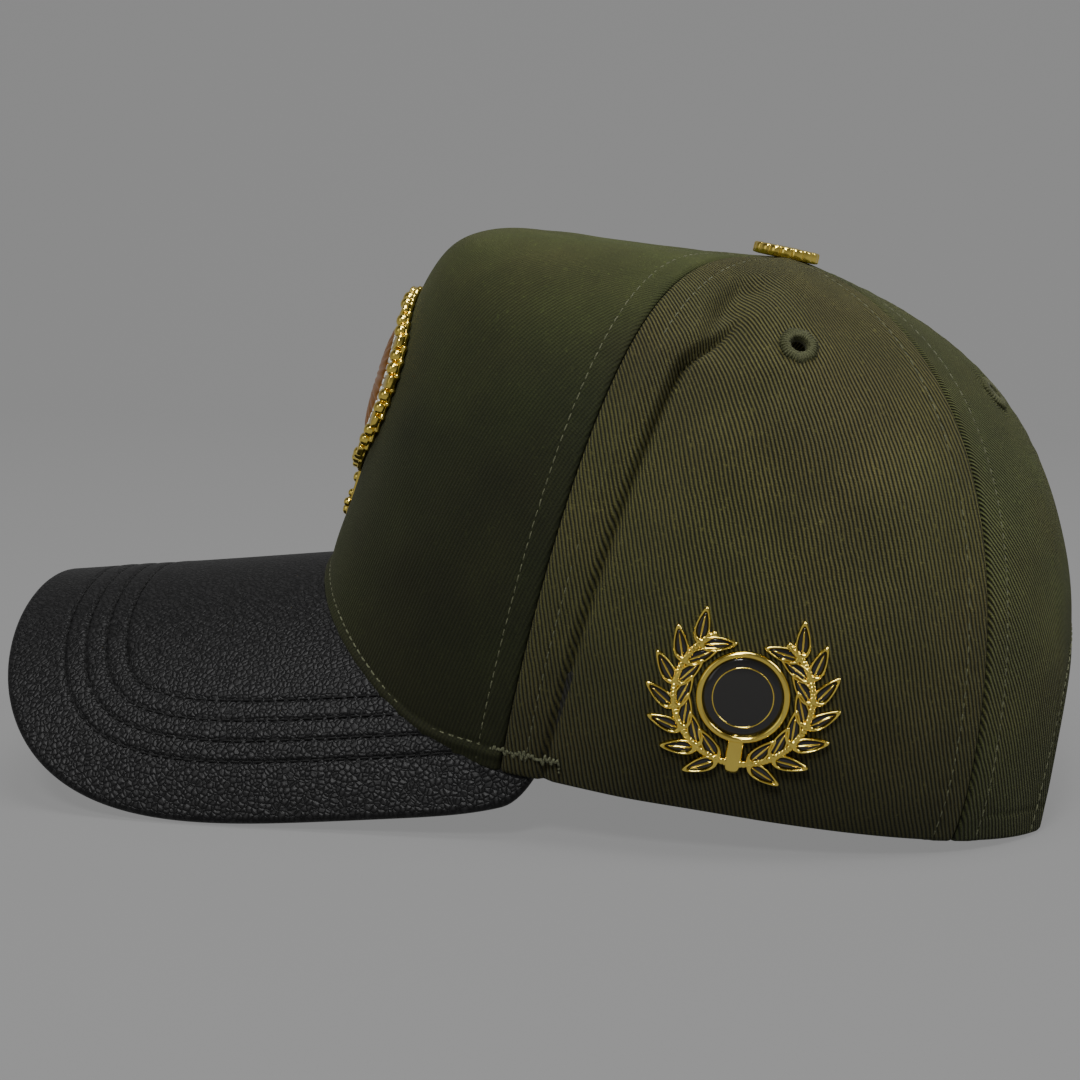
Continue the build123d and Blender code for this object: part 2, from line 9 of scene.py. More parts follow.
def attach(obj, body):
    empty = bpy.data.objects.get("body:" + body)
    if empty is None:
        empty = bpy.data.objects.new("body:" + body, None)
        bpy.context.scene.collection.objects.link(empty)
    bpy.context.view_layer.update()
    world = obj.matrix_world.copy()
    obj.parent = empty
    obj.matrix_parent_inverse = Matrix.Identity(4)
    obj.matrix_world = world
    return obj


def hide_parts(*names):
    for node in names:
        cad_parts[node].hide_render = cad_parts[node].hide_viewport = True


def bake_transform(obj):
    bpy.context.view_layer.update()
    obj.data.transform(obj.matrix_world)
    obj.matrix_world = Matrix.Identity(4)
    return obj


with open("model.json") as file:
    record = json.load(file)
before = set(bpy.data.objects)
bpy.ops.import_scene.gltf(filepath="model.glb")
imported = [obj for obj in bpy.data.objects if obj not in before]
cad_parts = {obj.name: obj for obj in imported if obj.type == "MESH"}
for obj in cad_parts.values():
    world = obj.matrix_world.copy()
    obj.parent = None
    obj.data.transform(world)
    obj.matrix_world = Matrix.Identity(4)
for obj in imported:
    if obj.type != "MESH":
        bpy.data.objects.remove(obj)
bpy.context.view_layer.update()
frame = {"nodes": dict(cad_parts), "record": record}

# Lengths are in millimetres in the head frame until row() turns them to metres in the row frame: the visor is
# towards -Y, the wearer's left is +X and the crown's lower edge is at z = 0.
TILT = math.radians(7.033)
SHIFT = (0.0, 31.7367, 11.5509)
AXIS_Y = 12.8
TOP = 126.3
RINGS = [
    (112.0, 73.0, 90.5, 0.0, 0.0, 0.0),
    (105.0, 82.5, 90.0, 49.0, 13.0, 28.0),
    (79.0, 82.0, 80.0, 105.0, 79.0, 76.0),
    (111.0, 63.5, 86.0, 148.0, 129.0, 113.5),
    (70.0, 39.0, 8.5, 117.0, TOP, 124.5),
    (0.0, 0.0, 0.0, TOP, TOP, TOP),
]
FRONT_FULLNESS = 2.3
BACK_FULLNESS = 2.6
BEND = 75.3
PITCH = math.radians(12.6)
ROOT_Y = -93.0
ROOT_Z = 32.0
HALF_WIDTH = 95.4
RIM_POWER = 3.68
RIM_FRONT = 98.9
RIM_BACK = 65.9
RIM_MIDDLE = -19.5
RIM_END = -61.0
ROOT_HALF = 82.0
VISOR_T = 3.4
ARCH_HALF = 42.0
ARCH_TOP = 46.0
ARCH_POWER = 2.5
rng = np.random.default_rng(7)


# ---- surfaces ----
def turn(v):
    """A direction from the head frame to the row frame."""
    v = np.asarray(v, float)
    c, s = math.cos(TILT), math.sin(TILT)
    return np.stack([v[..., 0], v[..., 1] * c + v[..., 2] * s, v[..., 2] * c - v[..., 1] * s], -1)


def row(p):
    """Head frame in mm to row frame in m."""
    return (turn(p) + SHIFT) * 0.001


def lengths(p, axis=0):
    """How far each point lies from the start, along one axis of a list or grid of points."""
    step = np.linalg.norm(np.diff(p, axis=axis), axis=-1)
    return np.concatenate([0 * np.take(step, [0], axis), np.cumsum(step, axis)], axis)


def ring_mix(phi, s):
    phi, s = np.broadcast_arrays(np.asarray(phi, float), np.asarray(s, float))
    c, sn = np.cos(np.radians(phi)), np.sin(np.radians(phi))
    ahead = c > 0
    power = np.where(ahead, FRONT_FULLNESS, BACK_FULLNESS)
    reach = np.zeros(phi.shape)
    height = np.zeros(phi.shape)
    for k, (front, side, back, z_front, z_side, z_back) in enumerate(RINGS):
        weight = math.comb(5, k) * s**k * (1 - s) ** (5 - k)
        if side > 0:
            end = np.where(ahead, front, back)
            spread = (np.abs(sn) / side) ** power + (np.abs(c) / end) ** power
            reach = reach + weight * spread ** (-1 / power)
        height = height + weight * (z_side + (np.where(ahead, z_front, z_back) - z_side) * c * c)
    return reach, height


def outside(phi, s):
    reach, height = ring_mix(phi, s)
    a = np.radians(phi)
    return np.stack([reach * np.sin(a), AXIS_Y - reach * np.cos(a), height], -1)


def outward(phi, s):
    e = 1e-3
    along = outside(phi + 100 * e, s) - outside(phi - 100 * e, s)
    up = outside(phi, s + e) - outside(phi, s - e)
    n = np.cross(along, up)
    n /= np.linalg.norm(n, axis=-1, keepdims=True) + 1e-12
    a = np.radians(phi)
    flip = np.where(n[..., 0] * np.sin(a) - n[..., 1] * np.cos(a) + n[..., 2] < 0, -1.0, 1.0)
    return n * flip[..., None]


def crown(phi, s, depth=0.0):
    return outside(phi, s) - outward(phi, s) * np.asarray(depth, float)[..., None]


def solve(f, low, high, rounds=36):
    """Where f, which rises, is zero, for arrays of brackets."""
    for _ in range(rounds):
        mid = (low + high) / 2
        below = f(mid) < 0
        low, high = np.where(below, mid, low), np.where(below, high, mid)
    return (low + high) / 2


def s_at_height(phi, z):
    phi, z = np.broadcast_arrays(np.asarray(phi, float), np.asarray(z, float))
    return solve(lambda s: ring_mix(phi, s)[1] - z, np.full(phi.shape, -0.05), np.full(phi.shape, 0.62))


def s_at_reach(phi, r):
    phi = np.asarray(phi, float)
    return solve(lambda s: r - ring_mix(phi, s)[0], np.full(phi.shape, 0.8), np.full(phi.shape, 0.9999))


def visor(a, b, depth=0.0):
    t = np.asarray(a, float) / BEND
    r = BEND - depth
    n = r * np.cos(t) - BEND
    y = ROOT_Y - b * math.cos(PITCH) - n * math.sin(PITCH)
    z = ROOT_Z - b * math.sin(PITCH) + n * math.cos(PITCH)
    return np.stack([r * np.sin(t), y, z], -1)


def visor_height(x, y):
    """How high the visor's underside lies."""
    r = BEND - VISOR_T
    n = np.sqrt(np.maximum(r * r - x * x, 1.0)) - BEND
    b = (ROOT_Y - y - n * math.sin(PITCH)) / math.cos(PITCH)
    return np.where(np.abs(x) > 0.985 * r, -60.0, ROOT_Z - b * math.sin(PITCH) + n * math.cos(PITCH))


def arch_height(x):
    k = np.clip(np.abs(x) / ARCH_HALF, 0, 1)
    return np.where(k < 1, ARCH_TOP * (1 - k**ARCH_POWER) ** (1 / ARCH_POWER) - 2.0, -60.0)


def start_table(lift=0.0, arch=False):
    """Share of the way up at which the wall starts, for 0 to 180 degrees round."""
    phi = np.linspace(0, 180, 1441)

    def above(s):
        p = outside(phi, s)
        v = visor_height(p[..., 0], p[..., 1])
        low = np.where(phi < 100, (v + np.sqrt(v * v + 9.0)) / 2, 0.0)
        if arch:
            low = np.where(phi > 120, np.maximum(low, arch_height(p[..., 0])), low)
        return p[..., 2] - low - lift

    s = solve(above, np.full(phi.shape, -0.02), np.full(phi.shape, 0.55))
    return lambda q: np.interp(np.abs(q), phi, s)


edge = start_table(arch=True)


def front_seam(s):
    return 55.3 + 16.2 * s - 9.4 * s * s


def back_seam(s):
    return 133.2 + 0.5 * s


def rear_seam(s):
    return 180.0 + 0 * s


_rim_t = math.pi / 2 - np.linspace(0, 1, 4001) * (math.pi / 2 + 1.2)
_rim_a = HALF_WIDTH * np.abs(np.cos(_rim_t)) ** (2 / RIM_POWER)
_rim_long = np.where(_rim_t > 0, RIM_FRONT, RIM_BACK)
_rim_b = RIM_MIDDLE + np.sign(_rim_t) * _rim_long * np.abs(np.sin(_rim_t)) ** (2 / RIM_POWER)
_rim_a = _rim_a - 8.0 * np.clip((-50.0 - _rim_b) / 11.0, 0, 1) ** 2
_keep = ~((_rim_t < 0) & (_rim_b < RIM_END))
_rim = np.stack([_rim_a, _rim_b], -1)[_keep]
_len = lengths(_rim)
RIM_LENGTH = _len[-1]
_even = np.linspace(0, RIM_LENGTH, 1200)
_rim = np.stack([np.interp(_even, _len, _rim[:, i]) for i in range(2)], -1)
_tan = np.gradient(_rim, axis=0)
_tan /= np.linalg.norm(_tan, axis=1, keepdims=True)
_tan[0] = (1, 0)
_in = np.stack([_tan[:, 1], -_tan[:, 0]], -1)
for _ in range(3):
    _in[1:-1] = (_in[:-2] + _in[1:-1] + _in[2:]) / 3
_in /= np.linalg.norm(_in, axis=1, keepdims=True)


def rim_at(u, inset):
    """Flat place on the rim, u from tip (-1) to tip (1), this far in from it."""
    u = np.asarray(u, float)
    k = np.abs(u) * RIM_LENGTH
    p = [np.interp(k, _even, _rim[:, i]) + np.interp(k, _even, _in[:, i]) * inset for i in range(2)]
    return np.sign(u) * p[0], p[1]


def rim_distance(a, b):
    shape = np.shape(a)
    q = np.stack([np.abs(np.ravel(a)), np.ravel(b)], -1)
    out = np.empty(len(q))
    for i in range(0, len(q), 4000):
        out[i:i + 4000] = np.sqrt(((q[i:i + 4000, None] - _rim[None, ::3]) ** 2).sum(-1)).min(1)
    return out.reshape(shape)


def root_table(depth, clear):
    a = np.linspace(0, 92, 60)

    def gap(b):
        p = visor(a, b, depth)
        phi = np.degrees(np.arctan2(p[:, 0], AXIS_Y - p[:, 1]))
        s = s_at_height(phi, np.maximum(p[:, 2], 0.0))
        return np.hypot(p[:, 0], p[:, 1] - AXIS_Y) - ring_mix(phi, s)[0] - clear

    b = solve(gap, np.full(a.shape, -85.0), np.full(a.shape, 15.0), 26)
    return lambda q: np.interp(np.abs(q), a, b)


root_top = root_table(0.0, -0.4)
root_low = root_table(VISOR_T, -0.2)


WAVES = 9


def ripple(p, size, seed):
    """Smooth seeded waviness, about -1 to 1, with this wavelength in mm."""
    g = np.random.default_rng(seed)
    out = np.zeros(p.shape[:-1])
    for _ in range(WAVES):
        d = g.normal(size=3)
        d *= 2 * math.pi / size / np.linalg.norm(d) * g.uniform(0.6, 1.6)
        out += np.sin(p @ d + g.uniform(0, 6.28))
    return out / math.sqrt(WAVES)


def smooth(low, high, x):
    t = np.clip((x - low) / (high - low), 0, 1)
    return t * t * (3 - 2 * t)


def bump(x, width):
    return np.exp(-((x / width) ** 2))


# ---- mesh building ----
def make(name, verts, faces, material, body="cap", uv=None, shade=True):
    """A mesh in the row frame (m) that rides on a body. uv is one pair per vertex."""
    mesh = bpy.data.meshes.new(name)
    mesh.from_pydata([tuple(map(float, v)) for v in verts], [], [tuple(map(int, f)) for f in faces])
    mesh.validate()
    if uv is not None:
        layer = mesh.uv_layers.new(name="grain")
        loops = np.empty(len(mesh.loops), int)
        mesh.loops.foreach_get("vertex_index", loops)
        layer.data.foreach_set("uv", np.asarray(uv, np.float32)[loops].ravel())
    mesh.polygons.foreach_set("use_smooth", [shade] * len(mesh.polygons))
    mesh.materials.append(material)
    obj = bpy.data.objects.new(name, mesh)
    bpy.context.scene.collection.objects.link(obj)
    if body:
        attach(obj, body)
    return obj


def grid_faces(rows, cols, start=0, wrap=False, flip=False):
    i = np.arange(rows - 1)[:, None] * cols
    j = np.arange(cols if wrap else cols - 1)[None, :]
    k = (j + 1) % cols
    f = np.stack([i + j, i + k, i + cols + k, i + cols + j], -1).reshape(-1, 4) + start
    return f[:, ::-1] if flip else f


def border(rows, cols):
    """Indices round the edge of a grid of points, and the same list moved on by one."""
    ring = np.concatenate([
        np.arange(cols),
        np.arange(1, rows) * cols + cols - 1,
        (rows - 1) * cols + np.arange(cols - 2, -1, -1),
        np.arange(rows - 2, 0, -1) * cols,
    ])
    return ring, np.roll(ring, -1)


def slab(name, outer, inner, material, uv, holes=()):
    """Closed sheet between two point grids in the head frame. holes are (centre, radius) in mm."""
    rows, cols = outer.shape[:2]
    n = rows * cols
    ring, nxt = border(rows, cols)
    side = np.stack([nxt, ring, ring + n, nxt + n], -1)
    faces = np.concatenate([grid_faces(rows, cols), grid_faces(rows, cols, n, flip=True), side])
    points = np.concatenate([outer.reshape(-1, 3), inner.reshape(-1, 3)])
    for centre, radius in holes:
        mid = points[faces].mean(1)
        faces = faces[np.linalg.norm(mid - np.asarray(centre), axis=1) > radius]
    return make(name, row(points), faces, material, uv=np.concatenate([uv.reshape(-1, 2)] * 2))


def wall_grid(low_phi, high_phi, low_s, high_s, across, up):
    """phi and s over part of the crown. across and up are the grid's own shares from 0 to 1."""
    u, v = np.meshgrid(across, up)
    s = v.copy()
    for _ in range(9):
        phi = low_phi(s) + (high_phi(s) - low_phi(s)) * u
        s = low_s(phi) + (high_s(phi) - low_s(phi)) * v
    return phi, s


_grid_phi = np.linspace(-180, 180, 361)
_grid_s = np.linspace(0, 0.99, 100)
_P = outside(*np.meshgrid(_grid_phi, _grid_s, indexing="ij"))
_round, _upward = lengths(_P), lengths(_P, 1)


def look_up(table, phi, s):
    i = np.clip((phi + 180.0), 0, 359.999)
    j = np.clip(s / 0.01, 0, 98.999)
    i0, j0 = i.astype(int), j.astype(int)
    fi, fj = i - i0, j - j0
    low = table[i0, j0] * (1 - fj) + table[i0, j0 + 1] * fj
    high = table[i0 + 1, j0] * (1 - fj) + table[i0 + 1, j0 + 1] * fj
    return low * (1 - fi) + high * fi


def flat_uv(phi, s, bias=0.0, start=0.0):
    """Millimetres along the cloth, from the piece's middle and the crown's lower edge.
    bias turns the grain more and more above start."""
    middle = np.full(phi.shape, (phi.min() + phi.max()) / 2)
    u, v = look_up(_round, phi, s) - look_up(_round, middle, s), look_up(_upward, phi, s)
    return np.stack([u, v + bias * np.maximum(v - start, 0) ** 2], -1)


def shares(total, ends, fine, coarse):
    """Shares from 0 to 1 with steps of fine within ends mm of both ends and coarse between."""
    x = [0.0]
    while x[-1] < total / 2:
        near = x[-1] < ends
        x.append(x[-1] + (fine if near else coarse))
    half = np.array(x) / (2 * x[-1])
    return np.concatenate([half, 1 - half[-2::-1]])


# ---- materials ----
class Finish:
    """A material in the making. set() puts a value on a node's socket, or links a socket to it."""

    def __init__(self, name, rough, metallic=0.0):
        self.material = bpy.data.materials.new(name)
        self.material.use_nodes = True
        self.tree = self.material.node_tree
        self.shader = self.tree.nodes["Principled BSDF"]
        self.where = self.tree.nodes.new("ShaderNodeTexCoord").outputs["Object"]
        self.set(self.shader, {"Roughness": rough, "Metallic": metallic})

    def set(self, n, values):
        for key, x in values.items():
            if isinstance(x, bpy.types.NodeSocket):
                self.tree.links.new(x, n.inputs[key])
            else:
                n.inputs[key].default_value = (*x, 1) if isinstance(x, tuple) else x

    def node(self, kind, values, **options):
        n = self.tree.nodes.new("ShaderNode" + kind)
        for key, x in options.items():
            setattr(n, key, x)
        self.set(n, values)
        return n

    def math(self, operation, a, b=0.0):
        return self.node("Math", {0: a, 1: b}, operation=operation).outputs[0]

    def times(self, a, b):
        return self.math("MULTIPLY", a, b)

    def plus(self, a, b):
        return self.math("ADD", a, b)

    def mix(self, share, a, b, how="MIX"):
        """A colour between a and b. The Mix node's colour sockets are its sixth and seventh."""
        return self.node("Mix", {0: share, 6: a, 7: b}, data_type="RGBA", blend_type=how).outputs[2]

    def noise(self, scale, detail=3.0, rough=0.5):
        values = {"Scale": scale, "Detail": detail, "Roughness": rough, "Vector": self.where}
        return self.node("TexNoise", values).outputs["Fac"]

    def stretch(self, x, low, high, to_low=0.0, to_high=1.0):
        values = {"Value": x, "From Min": low, "From Max": high, "To Min": to_low, "To Max": to_high}
        return self.node("MapRange", values).outputs["Result"]

    def done(self, colour, height, depth, **more):
        """The finished material: its colour, its relief, and more sockets with _ for each space."""
        relief = self.node("Bump", {"Strength": 1.0, "Distance": depth, "Height": height})
        self.set(self.shader, {"Base Color": colour, "Normal": relief.outputs["Normal"]})
        self.set(self.shader, {key.replace("_", " "): x for key, x in more.items()})
        return self.material


def scaled(colour, by):
    return tuple(min(1.0, c * by) for c in colour)


def twill(
    name, dark, light, warm, pitch, angle, depth=0.00022, sheen=0.25, ribs=0.85, fuzz=1.1,
    painted_shading_by_height=(0.0, 58.0, 0.42, 1.03),
):
    """Diagonal ribs of yarn over a UV map in mm.
    The last argument gives two heights up the cloth, then the colour's lightness at each: painted shade,
    darker low on the cloth, and painted light, lighter higher up."""
    f = Finish(name, 0.86)
    uv = f.tree.nodes.new("ShaderNodeUVMap")
    uv.uv_map = "grain"
    flat = f.node("SeparateXYZ", {0: uv.outputs["UV"]}).outputs
    a = math.radians(angle)
    across = f.plus(f.times(flat["X"], math.sin(a)), f.times(flat["Y"], math.cos(a)))
    across = f.plus(across, f.times(f.noise(120.0, 2.0), 0.7))
    rib = f.math("SINE", f.times(across, 2 * math.pi / pitch))
    turns = 2 * math.pi / 0.62
    along = f.plus(f.times(flat["X"], -math.cos(a) * turns), f.times(flat["Y"], math.sin(a) * turns))
    beads = f.math("SINE", f.plus(along, f.times(across, 3.1)))
    yarn = f.plus(f.times(rib, ribs), f.times(beads, 0.10))
    yarn = f.plus(yarn, f.times(f.noise(2600.0, 4.0, 0.65), fuzz))
    patch = f.stretch(f.noise(16.0, 4.0, 0.6), 0.36, 0.66)
    # Partly painted shade: the valleys between the ribs get the dark colour, far darker than the dye,
    # standing in for the shade between the ribs.
    colour = f.mix(f.stretch(yarn, -0.25, 1.45), dark, f.mix(patch, light, warm))
    speck = f.stretch(f.noise(900.0, 2.0, 0.7), 0.60, 0.78)
    colour = f.mix(f.times(speck, 0.5), colour, scaled(light, 1.9))
    wash = f.plus(f.times(f.stretch(f.noise(42.0, 5.0, 0.62), 0.32, 0.68), 0.44), 0.78)
    # Painted shade and light: the colour is multiplied by a lightness that rises with height up the cloth,
    # standing in for how the light falls, and by a random tone.
    colour = f.mix(1.0, colour, f.times(f.stretch(flat["Y"], *painted_shading_by_height), wash), "MULTIPLY")
    return f.done(
        colour, yarn, depth, Sheen_Weight=sheen * 0.5, Sheen_Roughness=0.45, Sheen_Tint=(0.55, 0.58, 0.32),
        Specular_IOR_Level=0.25,
    )


def leather(name, dark, light, cell, depth, rough):
    """Pebbles about cell mm across, with wavering edges and creases between them that are coloured darker as
    painted shade.
    """
    f = Finish(name, rough)
    warp = f.node("TexNoise", {"Scale": 420.0, "Vector": f.where})
    shift = f.node("VectorMath", {"Scale": 0.0009, 0: warp.outputs["Color"]}, operation="SCALE")
    moved = f.node("VectorMath", {0: f.where, 1: shift.outputs[0]}, operation="ADD")
    values = {"Scale": 1000.0 / cell, "Randomness": 0.9, "Vector": moved.outputs[0]}
    cells = f.node("TexVoronoi", values, feature="DISTANCE_TO_EDGE")
    hump = f.math("POWER", f.stretch(cells.outputs["Distance"], 0.0, 0.42), 0.6)
    fine = f.noise(3500.0, 3.0, 0.6)
    # Painted shade: the colour is darker in the creases between the pebbles and lighter on their tops.
    colour = f.mix(f.stretch(hump, 0.35, 1.0), dark, light)
    colour = f.mix(f.times(f.noise(30.0), 0.35), colour, scaled(dark, 0.6))
    shine = f.plus(f.times(fine, 0.22), rough - 0.14)
    height = f.plus(hump, f.times(fine, 0.14))
    return f.done(colour, height, depth, Roughness=shine, Specular_IOR_Level=0.22)


def gold(name, colour, rough, dents=0.00008):
    f = Finish(name, rough, 1.0)
    f.set(f.shader, {"Base Color": colour})
    shine = f.plus(f.times(f.noise(700.0, 5.0, 0.6), 0.16), rough - 0.06)
    tone = f.mix(f.noise(120.0), scaled(colour, 0.82), scaled(colour, 1.12))
    return f.done(tone, f.noise(420.0, 2.0), dents, Roughness=shine)


def enamel(name, colour, rough=0.12):
    f = Finish(name, rough)
    tone = f.mix(f.noise(260.0, 4.0), scaled(colour, 0.75), colour)
    return f.done(tone, f.noise(300.0, 2.0), 0.00005, Coat_Weight=0.6, Coat_Roughness=0.06)


def plastic(name, colour, rough):
    f = Finish(name, rough)
    grain = f.noise(1800.0, 3.0, 0.6)
    tone = f.mix(f.noise(90.0), scaled(colour, 0.8), colour)
    return f.done(tone, grain, 0.00004, Roughness=f.plus(f.times(grain, 0.2), rough - 0.1))


def thread(name, dark, light):
    f = Finish(name, 0.7)
    ply = f.noise(3800.0, 2.0, 0.6)
    tone = f.mix(f.stretch(ply, 0.35, 0.65), dark, light)
    return f.done(tone, ply, 0.0001, Sheen_Weight=0.08, Specular_IOR_Level=0.2)


TWILL_PITCH = 0.985
# The dark twill colours, such as OLIVE_DARK, are painted shade in the valleys between the ribs.
OLIVE_DARK = (0.0018, 0.0020, 0.0004)
OLIVE_LIGHT = (0.108, 0.105, 0.029)
OLIVE_WARM = (0.110, 0.093, 0.029)
GREEN_LIGHT = (0.086, 0.108, 0.032)
side_cloth = twill(
    "side_twill", OLIVE_DARK, OLIVE_LIGHT, OLIVE_WARM, TWILL_PITCH, 71.5, 0.00040, ribs=0.95, fuzz=1.3
)
# Painted shade and light: the front panel's twill is a darker copy of the same olive twill, and its lightness
# by height rises almost fourfold towards the top.
front_cloth = twill(
    "front_twill", (0.0022, 0.0027, 0.0006), (0.0200, 0.0256, 0.0062), (0.0212, 0.0222, 0.0062),
    TWILL_PITCH, -82.0, 0.00012, sheen=0.16, ribs=0.35, fuzz=1.7, painted_shading_by_height=(75.0, 165.0, 0.80, 2.9),
)
back_cloth = {}
for side, tail in ((1, "left"), (-1, "right")):
    colours = (OLIVE_DARK, GREEN_LIGHT, OLIVE_LIGHT)
    back_cloth[side] = twill(
        f"back_twill_{tail}", *colours, TWILL_PITCH, side * 66.0, 0.00036, ribs=0.9, fuzz=1.3
    )
tape_cloth = twill(
    "tape_twill", (0.006, 0.006, 0.006), (0.04, 0.04, 0.036), (0.045, 0.042, 0.036), 0.8, 45.0
)
band_cloth = twill(
    "band_twill", (0.006, 0.006, 0.005), (0.045, 0.045, 0.04), (0.05, 0.046, 0.038), 0.9, 60.0
)
net_cloth = twill("buckram_net", (0.22, 0.21, 0.19), (0.62, 0.6, 0.55), (0.6, 0.57, 0.5), 1.4, 90.0)
label_cloth = twill("label_weave", (0.5, 0.5, 0.48), (0.8, 0.8, 0.77), (0.8, 0.78, 0.74), 0.5, 90.0)
black_leather = leather(
    "visor_leather", (0.0026, 0.0026, 0.0028), (0.0162, 0.0158, 0.0162), 1.32, 0.00018, 0.48
)
polished_gold = gold("polished_gold", (1.0, 0.72, 0.15), 0.12, 0.00002)
pale_enamel = enamel("pale_stone", (0.74, 0.76, 0.66), 0.08)
copper = gold("copper_bronze", (0.55, 0.24, 0.06), 0.28, 0.00006)
black_enamel = enamel("black_enamel", (0.01, 0.009, 0.008))
steel = gold("plated_steel", (0.55, 0.47, 0.30), 0.3)
strap_plastic = plastic("strap_plastic", (0.016, 0.017, 0.013), 0.42)
olive_thread = thread("olive_thread", (0.038, 0.041, 0.020), (0.150, 0.156, 0.088))
eyelet_thread = thread("eyelet_thread", (0.024, 0.026, 0.009), (0.090, 0.096, 0.040))
black_thread = thread("black_thread", (0.0010, 0.0010, 0.0010), (0.0045, 0.0045, 0.0045))


# ---- crown panels ----
ALLOWANCE = 5.7  # from a seam to the row of stitches beside it


def seam_relief(e, along, seed):
    """How far in the cloth lies e mm from a seam: a rolled edge, a raised allowance, a sewn groove."""
    g = np.random.default_rng(seed)
    wave = np.sin(along * 2 * math.pi / 5.3 + g.uniform(0, 6))
    wave = wave + 0.7 * np.sin(along * 2 * math.pi / 8.9 + g.uniform(0, 6))
    rolled = 0.42 * np.clip(1 - e / 0.8, 0, 1) ** 2
    raised = -0.28 * (1 - smooth(5.8, 7.6, e)) * smooth(0.0, 1.2, e)
    groove = 0.24 * bump(e - ALLOWANCE, 0.55)
    pucker = 0.07 * wave * bump(e - 5.4, 2.6)
    return rolled + raised + groove + pucker


def crease_relief(phi, s, reach, side):
    """The folds behind the front seam of a side panel, and the soft dents round its eyelet."""
    strength = 1.0 if side > 0 else 0.75
    middle = 62.2 + 17.5 * s + 70.0 * np.maximum(s - 0.55, 0)
    e = np.radians(phi - middle) * reach
    deep = np.interp(s, [0.02, 0.10, 0.25, 0.42, 0.54, 0.60, 0.66], [0.8, 1.6, 2.6, 3.6, 4.4, 3.4, 0.0])
    fold = deep * (
        0.62 * smooth(-1.3, 0.2, e) * np.exp(-np.maximum(e, 0) / 11.0) + 0.55 * bump(e - 0.2, 1.0)
    )
    lip = -0.30 * deep * bump(e + 4.6, 2.8) * smooth(0.2, 0.5, s)
    middle2 = 76.0 + 230.0 * (s - 0.63) ** 2
    e2 = np.radians(phi - middle2) * reach
    deep2 = np.interp(s, [0.57, 0.62, 0.67, 0.73, 0.77], [0.0, 2.6, 3.8, 2.6, 0.0])
    fold2 = deep2 * np.where(e2 < 0, bump(e2, 2.4), bump(e2, 5.5))
    swell = -0.35 * deep * bump(e - 19.0, 9.0)
    dents = 0.0
    for at_phi, at_s, long, wide, lean, amount in (
        (88.0, 0.53, 13.0, 5.0, 0.6, 0.9),
        (109.0, 0.47, 22.0, 7.0, 0.5, 0.7),
        (83.0, 0.34, 24.0, 6.0, 1.0, 0.6),
        (98.0, 0.24, 30.0, 9.0, 0.3, -0.5),
        (118.0, 0.33, 24.0, 7.0, 1.2, -0.6),
        (104.0, 0.60, 12.0, 6.0, 0.1, -0.45),
    ):
        x = np.radians(phi - at_phi) * reach
        y = (s - at_s) * 165.0
        p, q = x * math.cos(lean) + y * math.sin(lean), y * math.cos(lean) - x * math.sin(lean)
        dents = dents + amount * np.exp(-((p / long) ** 2) - (q / wide) ** 2)
    return strength * (fold + lip + fold2 + swell + dents)


def top_share(reach_mm):
    table_phi = np.linspace(0, 180, 361)
    table = s_at_reach(table_phi, reach_mm)
    return lambda q: np.interp(np.abs(q), table_phi, table)


panel_top = top_share(2.2)
EYELETS = {"side": (96.3, 0.615), "back": (157.0, 0.60)}


def panel(
    name, low_phi, high_phi, across, up, seed, slack, cloth, grain, side=0, front=False, eyelet=None,
    arch=False,
):
    phi, s = wall_grid(low_phi, high_phi, edge, panel_top, across, up)
    base = outside(phi, s)
    reach = ring_mix(phi, s)[0]
    length = lengths(base)
    left = np.radians(phi - phi[:, :1]) * reach
    right = np.radians(phi[:, -1:] - phi) * reach
    near = np.minimum(left, right)
    depth = seam_relief(left, length[:, :1], seed) + seam_relief(right, length[:, -1:], seed + 1)
    calm = smooth(3.0, 22.0, near) * smooth(0.0, 14.0, length) * smooth(4.0, 25.0, reach)
    depth += calm * slack * ripple(base, 55.0, seed + 2)
    depth += calm * slack * 0.35 * ripple(base, 21.0, seed + 3)
    if side:
        depth += crease_relief(np.abs(phi), s, reach, side) * smooth(1.0, 7.0, near)
    depth += 0.9 * np.clip(1 - length / 1.2, 0, 1) ** 2
    if front:
        wave = np.sin(left * 2 * math.pi / 4.7)
        depth += 0.30 * bump(length - 6.3, 0.55) - 0.75 * bump(length - 4.6, 1.3)
        depth += 0.05 * wave * bump(length - 5.0, 2.0)
    if arch:
        depth += np.where(np.abs(base[..., 0]) < 60, 0.25 * bump(length - 7.0, 0.6), 0)
    inner = np.maximum(depth + 0.6, 1.0)
    holes = []
    if eyelet:
        centre_phi, centre_s = EYELETS[eyelet]
        sign = 1 if phi.mean() > 0 else -1
        centre = outside(sign * centre_phi, centre_s)
        holes.append((centre, 2.7))
        d = np.linalg.norm(base - centre, axis=-1)
        depth += 0.35 * bump(d - 5.4, 1.1)
    p_out = crown(phi, s, depth)
    p_in = crown(phi, s, inner)
    uv = flat_uv(phi, s, *grain)
    obj = slab(name, p_out, p_in, cloth, uv, holes=holes)
    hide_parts(name)
    return obj


def up_shares(total):
    return shares(total, 10.0, 0.6, 1.5)


HALF_GAP = 0.12


def beside(seam, mm):
    return lambda s: seam(s) + np.degrees(mm / np.maximum(ring_mix(seam(s), s)[0], 1.0))


